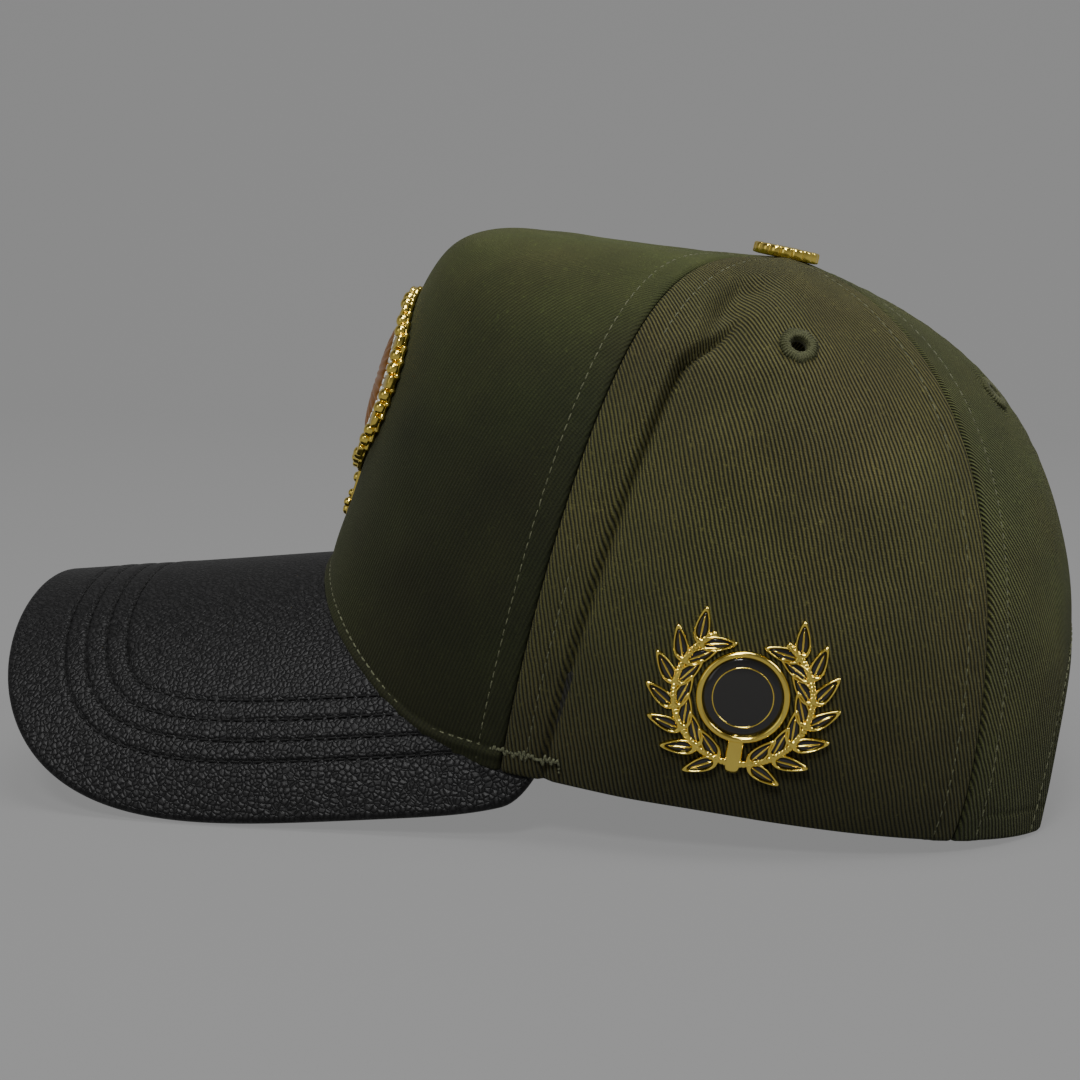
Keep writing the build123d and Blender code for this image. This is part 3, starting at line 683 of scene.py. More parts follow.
front_left = beside(front_seam, -HALF_GAP)
panel(
    "front_panel", lambda s: -front_left(s), front_left, shares(196, 9.5, 0.5, 1.6), up_shares(180),
    11, 0.22, front_cloth, (0.010, 95.0), front=True,
)
side_across = shares(96, 24.0, 0.5, 1.2)
for side, name in ((1, "side_panel_left"), (-1, "side_panel_right")):
    low, high = beside(front_seam, HALF_GAP), beside(back_seam, -HALF_GAP)
    limits = (low, high) if side > 0 else (lambda s: -high(s), lambda s: -low(s))
    panel(
        name, *limits, side_across, up_shares(170), 31 + side, 0.42, side_cloth,
        (0.0145, 85.0), side=side, eyelet="side",
    )
for side, name in ((1, "back_panel_left"), (-1, "back_panel_right")):
    low = beside(back_seam, HALF_GAP)

    def high(s):
        return 180.0 - np.degrees(HALF_GAP / np.maximum(ring_mix(180.0, s)[0], 1.0))

    x = np.linspace(0, 1, 400)
    dense = 1 + 5 * bump(x - 0.475, 0.05) + 3 * bump(x, 0.1) + 3 * bump(1 - x, 0.1)
    cdf = np.concatenate([[0], np.cumsum((dense[1:] + dense[:-1]) / 2)])
    across = np.interp(np.linspace(0, 1, 96), cdf / cdf[-1], x)
    limits = (low, high) if side > 0 else (lambda s: -high(s), lambda s: -low(s))
    across = across if side > 0 else 1 - across[::-1]
    panel(
        name, *limits, across, up_shares(150), 51 + side, 0.3, back_cloth[side],
        (0.012, 50.0), eyelet="back", arch=True,
    )


# ---- stitches ----
# A stitch is seven six-sided rings: (place along it, share of its thickness, height) of each.
STITCH = [
    (-0.5, 0.25, -1.3), (-0.44, 0.7, -0.75), (-0.25, 1.0, -0.1), (0.0, 1.0, 0.0), (0.25, 1.0, -0.1),
    (0.44, 0.7, -0.75), (0.5, 0.25, -1.3),
]


def stitches(name, rows_of_points, normals, material, pitch=2.6, radius=0.17, lift=0.05, length=0.82):
    """Sews along paths in the head frame. rows_of_points and normals are lists of arrays."""
    a = np.arange(6) / 6 * 2 * math.pi
    sides = list(zip(np.cos(a), np.sin(a)))
    verts, faces = [], []
    for path, nor in zip(rows_of_points, normals):
        run = lengths(path)
        count = int(run[-1] / pitch)
        for k in range(count):
            here = (k + 0.5) * pitch
            ends = [here - pitch * length / 2, here + pitch * length / 2]
            a, b = [np.array([np.interp(q, run, path[:, i]) for i in range(3)]) for q in ends]
            n = np.array([np.interp(here, run, nor[:, i]) for i in range(3)])
            n /= np.linalg.norm(n)
            d = b - a
            size = np.linalg.norm(d)
            d /= size
            w = np.cross(n, d)
            mid = (a + b) / 2 + n * lift + w * rng.normal(0, 0.03)
            swing = rng.normal(0, 0.035)
            d2 = d * math.cos(swing) + w * math.sin(swing)
            w2 = np.cross(n, d2)
            for x, f, z in STITCH:
                c = mid + d2 * x * size + n * z * radius
                for p, q in sides:
                    verts.append(c + (w2 * p + n * q) * radius * f)
            base = len(verts) - len(STITCH) * 6
            faces.append(grid_faces(len(STITCH), 6, base, wrap=True))
            faces.append(base + np.array([(0, 5, 4, 3), (0, 3, 2, 1)]))
            faces.append(len(verts) - 6 + np.array([(0, 1, 2, 3), (0, 3, 4, 5)]))
    return make(name, row(np.array(verts)), np.concatenate(faces), material)


def seam_row(seam, mm, low_s, high_s, depth):
    s = np.linspace(low_s, high_s, 240)
    phi = seam(s) + np.degrees(mm / ring_mix(seam(s), s)[0])
    return crown(phi, s, depth), outward(phi, s)


MIRROR = np.array([-1, 1, 1])
paths, normals = [], []
for seam in (front_seam, back_seam):
    for mm in (-ALLOWANCE, ALLOWANCE):
        high = float(s_at_reach(seam(0.95), 13.0))
        low = float(edge(seam(0.1))) + 0.012
        p, n = seam_row(seam, mm, low, high, -0.02)
        paths += [p, p * MIRROR]
        normals += [n, n * MIRROR]
for mm in (-5.0, 5.0):
    p, n = seam_row(rear_seam, mm, float(edge(180.0)) + 0.01, float(s_at_reach(180.0, 13.0)), 0.05)
    paths.append(p)
    normals.append(n)
stitches("crown_stitches", paths, normals, olive_thread)

VISOR_END = 65.5  # degrees round from the front, where the visor's seam ends
phi_line = np.linspace(-VISOR_END, VISOR_END, 420)
lift_edge = start_table(6.0)
s_line = lift_edge(phi_line)
p = crown(phi_line, s_line, 0.1)
stitches("front_edge_stitches", [p], [outward(phi_line, s_line)], olive_thread, 2.5, 0.24)
paths, normals = [], []
for side in (1, -1):
    phi_bar = side * np.linspace(54.0, VISOR_END, 34)
    zig = 0.0040 * (-1.0) ** np.arange(34) + rng.normal(0, 0.0022, 34)
    s_bar = lift_edge(phi_bar) + zig
    p, n = crown(phi_bar, s_bar, -0.25), outward(phi_bar, s_bar)
    paths += [p[i:i + 2] for i in range(33)]
    normals += [n[i:i + 2] for i in range(33)]
    phi_end = side * (VISOR_END + rng.normal(0, 0.12, 6))
    s_end = lift_edge(phi_end) - np.linspace(0.004, 0.022, 6)
    p, n = crown(phi_end, s_end, -0.1), outward(phi_end, s_end)
    paths += [p[i:i + 2] for i in range(5)]
    normals += [n[i:i + 2] for i in range(5)]
stitches("bar_tacks", paths, normals, olive_thread, 0.55, 0.26, 0.05, 2.6)

# ---- visor ----
ROW_INSET = 14.75
ROW_STEP = 5.32
ROWS = [ROW_INSET + ROW_STEP * k for k in range(4)]
U = np.linspace(-1, 1, 321)
R = VISOR_T / 2
top_v = np.concatenate([np.linspace(0, 0.25, 20), np.linspace(0.25, 1.0, 120)[1:]])
low_v = np.linspace(1.0, 0.0, 60)
angles = np.linspace(0, math.pi, 11)[1:-1]


def visor_sheet(v, depth, root, thick_sign):
    u2, v2 = np.meshgrid(U, v)
    a0 = ROOT_HALF * u2
    b0 = root(a0)
    a1, b1 = rim_at(u2, R)
    a, b = a0 + (a1 - a0) * v2, b0 + (b1 - b0) * v2
    d = rim_distance(a, b)
    relief = np.zeros(d.shape)
    for r in ROWS:
        relief += 0.55 * bump(d - r, 0.50) - 0.07 * bump(d - r - ROW_STEP / 2, 1.6)
    wave = ripple(np.stack([a, b, 0 * a], -1), 9.0, 77)
    relief += 0.05 * wave * bump(d - (ROWS[0] + ROWS[3]) / 2, 12.0)
    relief += 0.25 * ripple(np.stack([a, b, 0 * a], -1), 70.0, 78) * smooth(0, 20, d) * 0.5
    return visor(a, b, depth + relief * thick_sign), np.stack([a, b], -1)


top_points, top_uv = visor_sheet(top_v, 0.0, root_top, 1.0)
edge_rows, edge_uv = [], []
for q in angles:
    a, b = rim_at(U, R - R * math.sin(q))
    edge_rows.append(visor(a, b, R - R * math.cos(q)))
    edge_uv.append(np.stack([a, b], -1))
low_points, low_uv = visor_sheet(low_v, VISOR_T, root_low, -1.0)
points = np.concatenate([top_points, np.array(edge_rows), low_points])
uvs = np.concatenate([top_uv, np.array(edge_uv), low_uv])
rows_n, cols_n = points.shape[:2]
faces = grid_faces(rows_n, cols_n, flip=True)
root_cap = np.stack(
    [
        np.arange(cols_n - 1), np.arange(1, cols_n), (rows_n - 1) * cols_n + np.arange(1, cols_n),
        (rows_n - 1) * cols_n + np.arange(cols_n - 1),
    ],
    -1,
)
tips = []
for c in (0, cols_n - 1):
    line = np.arange(rows_n) * cols_n + c
    half = rows_n // 2
    for i in range(half):
        quad = [line[i], line[i + 1], line[rows_n - 2 - i], line[rows_n - 1 - i]]
        if len(set(quad)) == 4:
            tips.append(quad if c == 0 else quad[::-1])
faces = np.concatenate([faces, root_cap, np.array(tips)])
visor_obj = make(
    "visor_leather_cover", row(points.reshape(-1, 3)), faces, black_leather, uv=uvs.reshape(-1, 2)
)
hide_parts("visor_top_cover", "visor_under_cover", "visor_rim", "visor_board")

paths, normals = [], []
for r in ROWS:
    u = np.linspace(-1, 1, 900)
    a, b = rim_at(u, r)
    ok = b > root_top(a) + 1.2
    a, b = a[ok], b[ok]
    for depth, sign, root in ((0.12, 1, root_top), (VISOR_T - 0.12, -1, root_low)):
        p = visor(a, b, depth)
        n = visor(a, b, depth - 1.0) - p
        paths.append(p)
        normals.append(n * sign)
stitches("visor_stitches", paths, normals, black_thread, 2.9, 0.27, -0.12)


# ---- linings inside the crown ----
def lining(
    name, low_phi, high_phi, low_s, high_s, depths, size, steps, material, seed=0, slack=0.15,
    rows_at=(),
):
    across, up = shares(size[0], 3, 0.5, steps), shares(size[1], 3, 0.5, steps)
    phi, s = wall_grid(low_phi, high_phi, low_s, high_s, across, up)
    base = crown(phi, s, depths[0])
    left, rise = lengths(base, 1), lengths(base)
    e = np.minimum.reduce([left, left[:, -1:] - left, rise, rise[-1:] - rise])
    wave = slack * ripple(base, 24.0, 90 + seed) * smooth(0.5, 5, e)
    thick = depths[1] - depths[0]
    pinch = 0.42 * thick * np.clip(1 - e / 0.9, 0, 1) ** 2
    inner = depths[1] + wave - pinch
    for r in rows_at:
        inner -= 0.25 * bump(e - r, 0.5)
    outer = np.minimum(depths[0] + pinch, inner - 0.1)
    obj = slab(name, crown(phi, s, outer), crown(phi, s, inner), material, flat_uv(phi, s))
    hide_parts(name)
    return obj


def level(share):
    """The same share of the way up, all the way round."""
    return lambda phi: share + 0 * phi


band_low = start_table(1.5)
band_high = start_table(28.0)
lining(
    "sweatband", level(-142.5), level(142.5), band_low, band_high, (1.9, 3.5), (460, 28), 1.6, band_cloth,
    1, 0.2, (1.8,),
)
care_label = lining(
    "care_label", level(-122.0), level(-108.0), start_table(4.0),
    start_table(25.0), (3.75, 4.05), (18, 21), 1.0, label_cloth, 2, 0.1,
)
lining(
    "front_buckram", lambda s: -beside(front_seam, -8.0)(s), beside(front_seam, -8.0),
    start_table(5.0), level(0.86), (1.3, 1.95), (170, 130), 2.0, net_cloth, 3,
    0.2,
)


TAPE_HALF = 6.0


def strip(name, seam, low, high, seed):
    lining(
        name, beside(seam, -TAPE_HALF), beside(seam, TAPE_HALF), level(low), level(high), (1.25, 1.9),
        (12, 150), 1.6, tape_cloth, seed, 0.05, (1.4,),
    )


front_low = float(edge(front_seam(0.1))) + 0.01
front_high = float(s_at_reach(front_seam(0.9), 11.0))
back_high = float(s_at_reach(back_seam(0.9), 16.0))
strip("front_seam_tape_left", front_seam, front_low, front_high, 4)
strip("front_seam_tape_right", lambda s: -front_seam(s), front_low, front_high, 5)
strip("back_seam_tape_left", back_seam, 0.01, back_high, 6)
strip("back_seam_tape_right", lambda s: -back_seam(s), 0.01, back_high, 7)
rear_low = float(s_at_height(180.0, ARCH_TOP + 5.4))
strip("rear_seam_tape", rear_seam, rear_low, float(s_at_reach(180.0, 16.0)), 8)

# ---- binding round the back opening ----
BINDING = 7.0
t = np.linspace(0.02, math.pi - 0.02, 160)
across = np.linspace(0, 1, 12)
T, W = np.meshgrid(t, across)
grow = 1 + W * BINDING / ARCH_HALF
bx = np.sign(np.cos(T)) * ARCH_HALF * np.abs(np.cos(T)) ** (2 / ARCH_POWER) * grow
bz = ARCH_TOP * np.sin(T) ** (2 / ARCH_POWER) * (1 + W * BINDING / ARCH_TOP) - 2.0
bz = np.maximum(bz, 0.6)
PHI = 180.0 - np.degrees(np.arctan2(bx, 90.0))
for _ in range(25):
    S = s_at_height(PHI, bz)
    reach = ring_mix(PHI, S)[0]
    PHI = 180.0 - np.degrees(np.arcsin(np.clip(bx / reach, -0.99, 0.99)))
pinch = 0.3 * np.clip(1 - np.minimum(W, 1 - W) * BINDING, 0, 1) ** 2
uv = np.stack([W * BINDING, T * 45.0], -1)
binding = slab("arch_binding", crown(PHI, S, 1.2 + pinch), crown(PHI, S, 1.85 - pinch), tape_cloth, uv)
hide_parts("arch_binding")
k = 7
arch_path = crown(PHI[k], S[k], -0.05)
lining_path = crown(PHI[k], S[k], 1.9)
out_n = outward(PHI[k], S[k])
stitches("arch_stitches", [arch_path, lining_path], [out_n, -out_n], olive_thread)


# ---- eyelets and button ----
def lathe(name, origin, axis, profile, around, ridge, material):
    """Turns a profile of (radius, height) round an axis. ridge(angle, index) gives a scale and a rise."""
    axis = np.asarray(axis, float) / np.linalg.norm(axis)
    x = np.cross([0.0, 1.0, 0.1], axis)
    x /= np.linalg.norm(x)
    y = np.cross(axis, x)
    a = np.arange(around) / around * 2 * math.pi
    verts = []
    for i, (r, h) in enumerate(profile):
        k, dh = ridge(a, i)
        spots = np.asarray(origin) + np.outer(r * k * np.cos(a), x)
        verts.append(spots + np.outer(r * k * np.sin(a), y) + np.outer(h + dh, axis))
    verts = np.concatenate(verts)
    faces = grid_faces(len(profile), around, wrap=True)
    return make(name, row(verts), faces, material)


def eyelet_ridge(a, i):
    g = np.random.default_rng(5 + i)
    threads = 36
    wobble = 0.06 * np.sin(threads * a) + 0.03 * np.sin(7 * a + 1.0) + g.normal(0, 0.006, a.shape)
    swell = 0.10 * np.sin(threads * a)
    return 1 + wobble * (1.0 if 0 < i < 8 else 0.4), swell * (1.0 if 1 < i < 8 else 0.0)


eyelet_profile = [
    (4.5, -0.35), (4.55, 0.05), (4.3, 0.45), (3.8, 0.75), (3.2, 0.85), (2.6, 0.75), (2.15, 0.4),
    (1.9, -0.1), (1.8, -0.8), (1.9, -1.4), (2.8, -1.5), (3.6, -1.35), (3.7, -0.9),
]
paths, normals = [], []
for which, (e_phi, e_s) in EYELETS.items():
    for side, tail in ((1, "left"), (-1, "right")):
        middle, axis = outside(side * e_phi, e_s), outward(side * e_phi, e_s)
        ob = lathe(
            f"{which}_eyelet_ring_{tail}", middle, axis, eyelet_profile, 216, eyelet_ridge, eyelet_thread
        )
        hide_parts(f"{which}_eyelet_{tail}")
        x = np.cross(axis, (0.0, 0.0, 1.0))
        x /= np.linalg.norm(x)
        y = np.cross(axis, x)
        for k in range(46):
            turn_by = 2 * math.pi * (k + rng.normal(0, 0.16)) / 46
            out = x * math.cos(turn_by) + y * math.sin(turn_by) * 0.93
            start, stop = 2.15 + rng.normal(0, 0.06), 4.75 + rng.normal(0, 0.14)
            paths.append(np.stack([middle + out * start + axis * 0.78, middle + out * stop + axis * 0.30]))
            normals.append(np.stack([axis, axis]))
stitches("eyelet_threads", paths, normals, eyelet_thread, 2.0, 0.27, 0.0, 1.25)


def button_ridge(a, i):
    flute = np.abs(np.cos(8 * a)) ** 0.4
    depth = [0.03, 0.10, 0.12, 0.12, 0.11, 0.08, 0.03, 0.01, 0, 0, 0, 0, 0][i]
    return 1 - depth * (1 - flute), 0 * a


button_profile = [
    (7.5, 0.0), (8.3, 0.15), (8.5, 0.5), (8.5, 1.7), (8.45, 2.5), (8.1, 2.8), (7.4, 2.9), (6.7, 2.85),
    (6.3, 2.65), (5.8, 2.7), (4.0, 2.95), (2.0, 3.05), (0.02, 3.08),
]
b_axis = np.array([0.0, math.sin(math.radians(4)), 1.0])
ob = lathe(
    "fluted_button", np.array([0, AXIS_Y, TOP + 0.1]) + b_axis * 0.15, b_axis, button_profile, 360,
    button_ridge, polished_gold,
)
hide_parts("top_button")


# ---- badge and pin ----
def front_place(x, z, h):
    """A point on the front wall, x across and z up in the head frame, h proud of the cloth."""
    phi = np.degrees(np.asarray(x, float) / 100.0)
    for _ in range(7):
        s = s_at_height(phi, z)
        phi = np.degrees(np.arcsin(np.clip(x / ring_mix(phi, s)[0], -0.99, 0.99)))
    return crown(phi, s, -np.asarray(h, float))


def side_place(y, z, h):
    """A point on the wearer's left wall, y back and z up in the head frame, h proud of the cloth."""
    phi = np.full(np.shape(y), 92.0)
    for _ in range(7):
        s = s_at_height(phi, z)
        phi = np.degrees(np.arccos(np.clip((AXIS_Y - y) / ring_mix(phi, s)[0], -0.99, 0.99)))
    return crown(phi, s, -np.asarray(h, float))


def plaques(name, place, shapes, material, shade=True):
    """Closed relief pieces in one mesh: each is an outline, its centre and (share, height) rings."""
    flat, faces, start = [], [], 0
    for outline, centre, rings in shapes:
        outline, centre = np.asarray(outline, float), np.asarray(centre, float)
        count = len(outline)
        for k, h in rings:
            q = centre + (outline - centre) * k
            flat.append(np.column_stack([q, np.broadcast_to(h, count)]))
        faces.append(grid_faces(len(rings), count, start, wrap=True))
        fan = np.array([(0, i, i + 1, i + 2) for i in range(1, count - 2, 2)])
        faces.append(start + (len(rings) - 1) * count + fan)
        faces.append(start + fan[:, [0, 3, 2, 1]])
        start += len(rings) * count
    flat = np.concatenate(flat)
    points = place(flat[:, 0], flat[:, 1], flat[:, 2])
    return make(name, row(points), np.concatenate(faces), material, shade=shade)


def ellipse(centre, half, count=24, power=2.0, turn_by=0.0):
    """An outline from round (power 2) to square (more), turned by an angle."""
    t = np.arange(count) / count * 2 * math.pi
    x = half[0] * np.sign(np.cos(t)) * np.abs(np.cos(t)) ** (2 / power)
    y = half[1] * np.sign(np.sin(t)) * np.abs(np.sin(t)) ** (2 / power)
    c, sn = math.cos(turn_by), math.sin(turn_by)
    return np.column_stack([centre[0] + x * c - y * sn, centre[1] + x * sn + y * c])


def oval(centre, half, rings, count=24, power=2.0, turn_by=0.0):
    """A relief piece with such an outline."""
    return ellipse(centre, half, count, power, turn_by), centre, rings


BADGE = np.array([0.0, 81.0])
BADGE_HALF = np.array([30.0, 25.0])
t = np.arange(336) / 336 * 2 * math.pi
edge_wave = 1 - 0.045 * np.abs(np.sin(21 * t)) - 0.012 * np.cos(7 * t)
badge_edge = BADGE + np.column_stack([np.cos(t), np.sin(t)]) * BADGE_HALF * edge_wave[:, None]
tab_left = [(-5.5, -21), (-5.5, -25), (-4.2, -29), (-3.4, -33), (-3.4, -37.5)]
tab_right = [(-x, z) for x, z in tab_left[::-1]]
tab = BADGE + np.array(tab_left + [(0, -38.5)] + tab_right + [(0, -19)], float)
slab_rings = [
    (0.5, 0.15), (0.99, 0.15), (1.0, 0.4), (1.0, 1.3), (0.985, 1.6), (0.93, 1.75), (0.86, 1.3), (0.84, 1.1),
    (0.5, 1.1),
]
plate = plaques(
    "badge_back_plate", front_place,
    [
        (badge_edge, BADGE, slab_rings),
        (tab, BADGE + (0, -29), [(0.5, 0.1), (1, 0.1), (1, 1.0), (0.9, 1.35), (0.5, 1.35)]),
    ],
    polished_gold,
)
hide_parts("badge_plate")
BEAD = [(0.97, 1.2), (1.0, 1.6), (0.93, 2.5), (0.72, 3.1), (0.4, 3.45), (0.08, 3.55)]
BAR = [(0.98, 1.2), (1.0, 1.7), (1.0, 2.6), (0.9, 2.9), (0.3, 2.95)]
SMALL_BEAD = [(0.97, 1.0), (1.0, 1.5), (0.9, 2.2), (0.6, 2.7), (0.1, 2.9)]
STONE = [(1.0, 1.1), (1.0, 1.75), (0.62, 2.35), (0.3, 2.37)]
shapes = []
for k in range(42):
    q = 2 * math.pi * (k + 0.5) / 42
    around = math.atan2(math.sin(q) * BADGE_HALF[1], math.cos(q) * BADGE_HALF[0])
    centre = BADGE + (BADGE_HALF - 2.3) * (math.cos(q), math.sin(q))
    if k % 3:
        shapes.append(oval(centre, (1.75, 1.85), BEAD, 16, 2, around))
    else:
        shapes.append(oval(centre, (2.0, 1.75), BAR, 16, 5, around))
for x, z, r in ((0, -36.4, 1.7), (-2.3, -34.2, 1.3), (2.3, -34.2, 1.3), (0, -32.0, 1.2), (0, -27.5, 1.6)):
    shapes.append(oval(BADGE + (x, z), (r, r), SMALL_BEAD, 14))
beads = plaques("badge_beads", front_place, shapes, polished_gold)
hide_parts("badge_rim")
shapes = []
for inset, count in ((5.7, 62), (8.0, 56)):
    for k in range(count):
        q = 2 * math.pi * (k + 0.5 * (inset > 6)) / count
        centre = BADGE + (BADGE_HALF - inset) * (math.cos(q), math.sin(q))
        r = 1.12 * (1 + rng.normal(0, 0.03))
        shapes.append(oval(centre, (r, r), STONE, 8, 2, rng.uniform(0, 0.8)))
stones = plaques("badge_stones", front_place, shapes, pale_enamel, shade=False)
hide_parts("badge_inlay")
t = np.arange(192) / 192 * 2 * math.pi
field = BADGE + np.column_stack([np.cos(t), np.sin(t)]) * (BADGE_HALF - 9.0)
ray = np.abs(np.cos(16 * t)) ** 0.6
rings = [(0.9, 1.0), (1.0, 1.1), (1.0, 1.7)]
for k in (0.97, 0.93, 0.87, 0.8, 0.7, 0.6, 0.5, 0.42, 0.36, 0.3, 0.2, 0.08):
    rings.append((k, 1.8 + 2.0 * math.sqrt(max(0.0, 1 - k**4)) - 0.6 * (1 - ray) * smooth(0.3, 0.42, k)))
dome = plaques("badge_dome", front_place, [(field, BADGE, rings)], copper)
STAR_R = (5.6, 2.8)
corners = [(STAR_R[i % 2], i * math.pi / 8) for i in range(16)]
star = BADGE + np.array([(r * math.sin(q), r * math.cos(q)) for r, q in corners])
boss = plaques(
    "badge_star", front_place,
    [(star, BADGE, [(0.9, 3.3), (1.0, 3.5), (0.98, 4.0), (0.5, 4.4), (0.1, 4.7)])], polished_gold,
    shade=False,
)
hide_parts("badge_boss")

PIN = np.array([18.6, 30.0])
WREATH_R = 15.5
FIELD_R = 9.0
BORDER = [
    (0.5, 0.15), (0.98, 0.15), (1.0, 0.5), (0.99, 1.05), (0.92, 1.5), (0.82, 1.62), (0.73, 1.45),
    (0.68, 1.0), (0.66, 0.7), (0.5, 0.7),
]
CELL = [(0.5, 0.72), (0.69, 0.75), (0.67, 0.95), (0.55, 1.12), (0.35, 1.2), (0.1, 1.22)]
metal, cells = [], []
for side in (-1, 1):
    for turn_by in range(12, 140, 20):
        for lean in (-38, 38):
            a, d = math.radians(turn_by), math.radians(turn_by + lean)
            t = np.arange(32) / 32 * 2 * math.pi
            x, y = 4.4 - 4.4 * np.cos(t), 2.15 * np.sin(t)
            y = y * (1.12 - 0.075 * x)
            px = WREATH_R * math.sin(a) + x * math.cos(d) - y * math.sin(d)
            py = -WREATH_R * math.cos(a) + x * math.sin(d) + y * math.cos(d)
            leaf = PIN + np.column_stack([side * px, py])
            middle = leaf.mean(0)
            metal.append((leaf if side > 0 else leaf[::-1], middle, BORDER))
            cells.append((leaf if side > 0 else leaf[::-1], middle, CELL))
            tip, root = leaf[16], leaf[0]
            along = (tip - root) / np.linalg.norm(tip - root)
            rib = ellipse(root + (tip - root) * 0.45, (2.9, 0.28), 16, 2, math.atan2(along[1], along[0]))
            metal.append((rib, rib.mean(0), [(0.9, 0.9), (1.0, 1.1), (0.8, 1.4), (0.2, 1.5)]))


def hoop(radius, width, low, high, gap):
    """A raised ring round the pin's middle, open over gap degrees at its top, as short overlapping links."""
    out = []
    rings = [(0.95, low), (1.0, (low + high) / 2), (0.8, high - 0.1), (0.3, high)]
    a = np.linspace(math.radians(90 + gap / 2), math.radians(450 - gap / 2), 96)
    for q0, q1 in zip(a[:-1], a[1:]):
        mid = (q0 + q1) / 2
        c = PIN + radius * np.array([math.cos(mid), math.sin(mid)])
        out.append(oval(c, (width / 2, radius * (q1 - q0) * 0.75), rings, 12, 3, mid))
    return out


def band(radius, width, low, high):
    """A closed raised ring round the pin's middle."""
    t = np.arange(120) / 120 * 2 * math.pi
    circle = PIN + radius * np.column_stack([np.cos(t), np.sin(t)])
    w = width / 2 / radius
    bow = [
        (1 + w * math.cos(q), low + (high - low) * max(0.0, math.sin(q)))
        for q in np.linspace(0, math.pi, 9)
    ]
    return (circle, PIN, bow + [(1 - w, low), (1 + w, low)])


metal += hoop(WREATH_R, 1.7, 0.2, 1.5, 62.0)
STEM = [(0.9, 0.15), (1, 0.3), (0.98, 1.2), (0.7, 1.6), (0.2, 1.7)]
DISC = [(0.4, 0.15), (0.98, 0.15), (1.0, 0.4), (0.98, 0.9), (0.4, 0.9)]
FIELD = [(0.5, 0.8), (1.0, 0.9), (0.98, 1.1), (0.8, 1.28), (0.5, 1.4), (0.1, 1.45)]
metal.append(oval(PIN + (0, -FIELD_R - 4.2), (1.9, 4.6), STEM, 20, 4))
metal.append(oval(PIN, (FIELD_R + 1.2, FIELD_R + 1.2), DISC, 120))
pin = plaques("pin_wreath", side_place, metal, polished_gold)
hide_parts("pin_body")
borders = [band(FIELD_R + 0.75, 1.7, 0.8, 1.9), band(FIELD_R - 2.2, 0.5, 0.8, 1.5)]
ring_ob = plaques("pin_ring", side_place, borders, polished_gold)
cells.append(oval(PIN, (FIELD_R, FIELD_R), FIELD, 96))
enamel_ob = plaques("pin_enamel_cells", side_place, cells, black_enamel)
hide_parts("pin_enamel")

# ---- CAD nodes that stay: better materials and softened edges ----
KEEP = {
    "badge_prongs": (steel, 0.1), "pin_posts": (steel, 0.1), "pin_clutch_front": (steel, 0.3),
    "pin_clutch_rear": (steel, 0.3), "button_rivet": (steel, 0.1), "button_washer": (steel, 0.15),
    "strap_holes": (strap_plastic, 0.25), "strap_studs": (strap_plastic, 0.2),
    "strap_anchor_left": (strap_plastic, 0.2), "strap_anchor_right": (strap_plastic, 0.2),
}
for name, (material, radius) in KEEP.items():
    ob = frame["nodes"][name]
    for slot in ob.material_slots:
        slot.material = material
    mod = ob.modifiers.new("soft_edges", "BEVEL")
    mod.width = radius * 0.001
    mod.segments = 2
    mod.limit_method = "ANGLE"
    mod.angle_limit = math.radians(35)

# The strap's plastic is one strip: a thin web carries it over each bend line to the end sewn inside the wall.
STRAP_HALF_HEIGHT = 7.8
WEB_T = 1.0
STRAPS = (
    ("hole_strap_swing", "hole_strap", "left", 1, 114.0),
    ("stud_strap_swing", "stud_strap", "right", -1, 112.5),
)
for joint_name, strap_body, tail, side, radius in STRAPS:
    joint = next(j for j in frame["record"]["behaviour"]["joints"] if j["name"] == joint_name)
    pivot = np.array(joint["pos_m"]) * 1000
    tall = -np.array(joint["axis"])
    back = np.cross(tall, (1.0, 0.0, 0.0))
    root = abs(pivot[0])
    bend_middle = pivot - np.array([side * root, 0, 0]) - back * math.sqrt(radius**2 - root**2)
    spots = root + np.array([-1.6, -0.9, -0.6, -0.3, 0.0, 0.3, 0.6, 0.9, 1.2, 1.6, 3.0])

    def web_sheet(r):
        x = spots * r / radius
        line = bend_middle + np.outer(side * x, (1.0, 0.0, 0.0)) + np.outer(np.sqrt(r * r - x * x), back)
        return np.stack([line + tall * h for h in np.linspace(-STRAP_HALF_HEIGHT, STRAP_HALF_HEIGHT, 9)])

    both = np.concatenate(
        [web_sheet(radius + WEB_T / 2).reshape(-1, 3), web_sheet(radius - WEB_T / 2).reshape(-1, 3)]
    )
    n, m = 9, len(spots)
    rim, nxt = border(n, m)
    web_faces = np.concatenate(
        [
            grid_faces(n, m, flip=side > 0), grid_faces(n, m, n * m, flip=side < 0),
            np.stack([rim, nxt, nxt + n * m, rim + n * m], -1)[:, ::side],
        ]
    )
    web = make(f"strap_web_{tail}", both * 0.001, web_faces, strap_plastic, None)
    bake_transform(web)

# ---- floor, light and camera ----
SWEEP_START = -0.9
SWEEP_R = 0.8
sweep = [(3.0, 0.0), (0.0, 0.0), (SWEEP_START, 0.0)]
for q in np.linspace(0.05, math.pi / 2, 24):
    sweep.append((SWEEP_START - SWEEP_R * math.sin(q), SWEEP_R - SWEEP_R * math.cos(q)))
sweep.append((SWEEP_START - SWEEP_R, 4.0))
mesh = bpy.data.meshes.new("backdrop")
mesh.from_pydata(
    [(x, y, z) for x, z in sweep for y in (-4.0, 4.0)], [],
    [(2 * i, 2 * i + 1, 2 * i + 3, 2 * i + 2) for i in range(len(sweep) - 1)],
)
mesh.polygons.foreach_set("use_smooth", [True] * len(mesh.polygons))
backdrop = bpy.data.objects.new("backdrop", mesh)
bpy.context.scene.collection.objects.link(backdrop)
pale = Finish("backdrop_pale", 0.95)
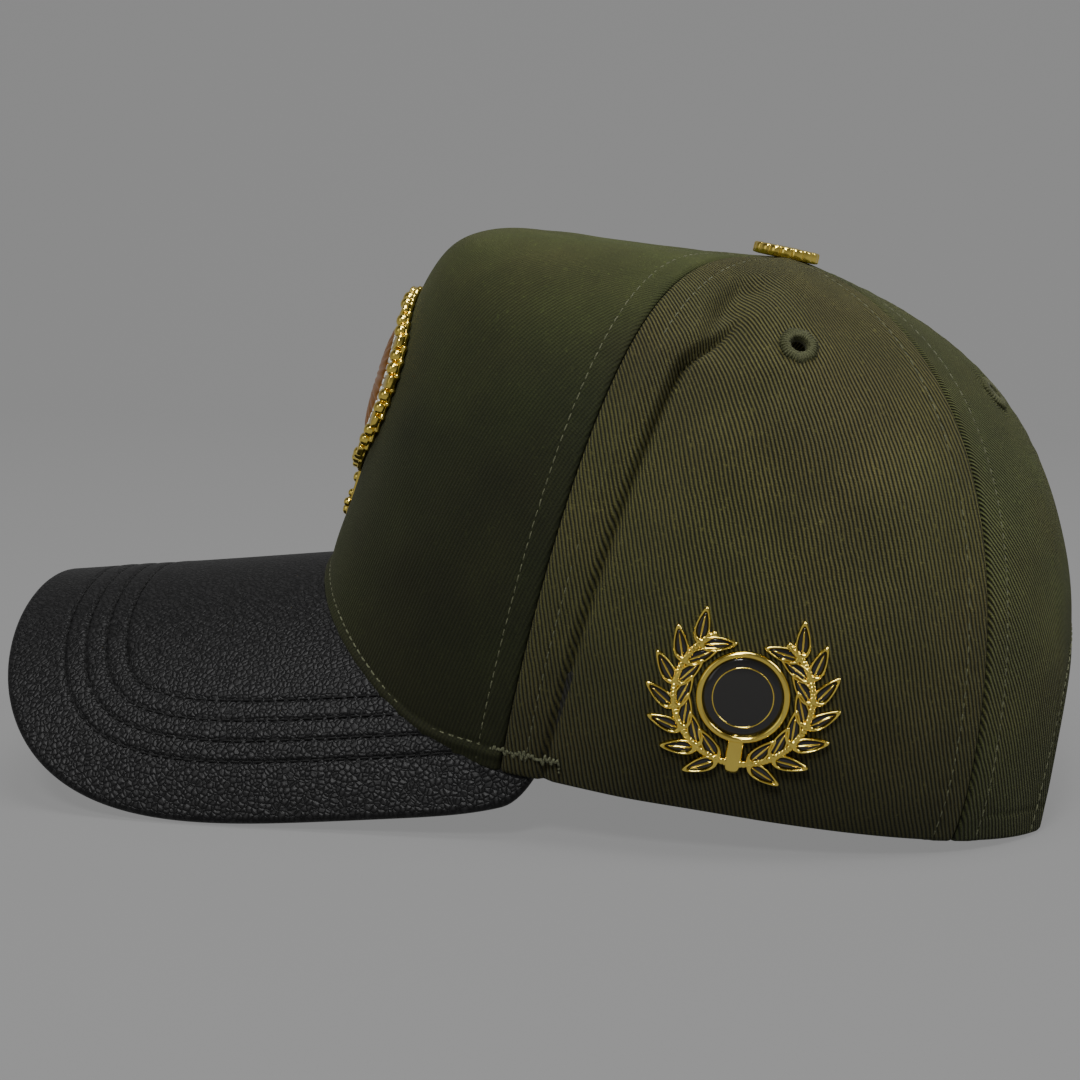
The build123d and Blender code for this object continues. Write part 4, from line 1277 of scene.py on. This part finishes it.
pale.set(pale.shader, {
    "Base Color": (0.06, 0.06, 0.06), "Emission Color": (1.0, 1.0, 1.0), "Emission Strength": 0.235,
    "Specular IOR Level": 0.0,
})
mesh.materials.append(pale.material)

world = bpy.data.worlds.new("studio")
bpy.context.scene.world = world
world.use_nodes = True
wt = world.node_tree
sky = wt.nodes["Background"]
sky.inputs[1].default_value = 1.0
split = wt.nodes.new("ShaderNodeSeparateXYZ")
wt.links.new(wt.nodes.new("ShaderNodeTexCoord").outputs["Generated"], split.inputs[0])
ramp = wt.nodes.new("ShaderNodeValToRGB")
ramp.color_ramp.elements[0].position = 0.52
ramp.color_ramp.elements[0].color = (0.25, 0.25, 0.25, 1)
ramp.color_ramp.elements[1].position = 0.9
ramp.color_ramp.elements[1].color = (0.06, 0.06, 0.06, 1)
half = wt.nodes.new("ShaderNodeMapRange")
half.inputs["From Min"].default_value = -1.0
wt.links.new(split.outputs["Z"], half.inputs["Value"])
wt.links.new(half.outputs["Result"], ramp.inputs["Fac"])
wt.links.new(ramp.outputs["Color"], sky.inputs[0])


def area(name, place, target, size, power):
    lamp = bpy.data.lights.new(name, "AREA")
    lamp.energy = power
    lamp.size = size
    ob = bpy.data.objects.new(name, lamp)
    ob.location = place
    ob.rotation_euler = (Vector(target) - Vector(place)).to_track_quat("-Z", "Y").to_euler()
    bpy.context.scene.collection.objects.link(ob)


area("key", (0.95, -0.12, 1.10), (0, 0.02, 0.07), 0.3, 13.0)
area("top", (0.15, 0.1, 1.3), (0, 0, 0.1), 0.5, 9.0)
area("fill", (0.9, -1.0, 0.6), (0, -0.05, 0.06), 0.8, 1.2)
area("back", (0.1, 1.1, 0.9), (0, 0, 0.1), 0.5, 7.0)

CAMERA_AWAY = 520.0
VIEW_SPAN = 286.472  # mm across the picture, at the distance it looks at
SENSOR = 36.0
a, e, r = (math.radians(x) for x in (95.75, 9.83, 7.93))
back = np.array([math.sin(a) * math.cos(e), -math.cos(a) * math.cos(e), math.sin(e)])
right = np.array([math.cos(a), math.sin(a), 0.0])
up = np.cross(back, right)
right2 = right * math.cos(r) + up * math.sin(r)
up2 = -right * math.sin(r) + up * math.cos(r)
place = row(np.array([0.0, -39.5, 44.53]) + back * CAMERA_AWAY)
cam_data = bpy.data.cameras.new("camera")
cam_data.sensor_width = SENSOR
cam_data.lens = SENSOR * CAMERA_AWAY / VIEW_SPAN
cam_data.clip_start = 0.01
cam = bpy.data.objects.new("camera", cam_data)
bpy.context.scene.collection.objects.link(cam)
axes = np.stack([turn(right2), turn(up2), turn(back), place], 1)
cam.matrix_world = Matrix([*axes.tolist(), (0, 0, 0, 1)])
bpy.context.scene.camera = cam
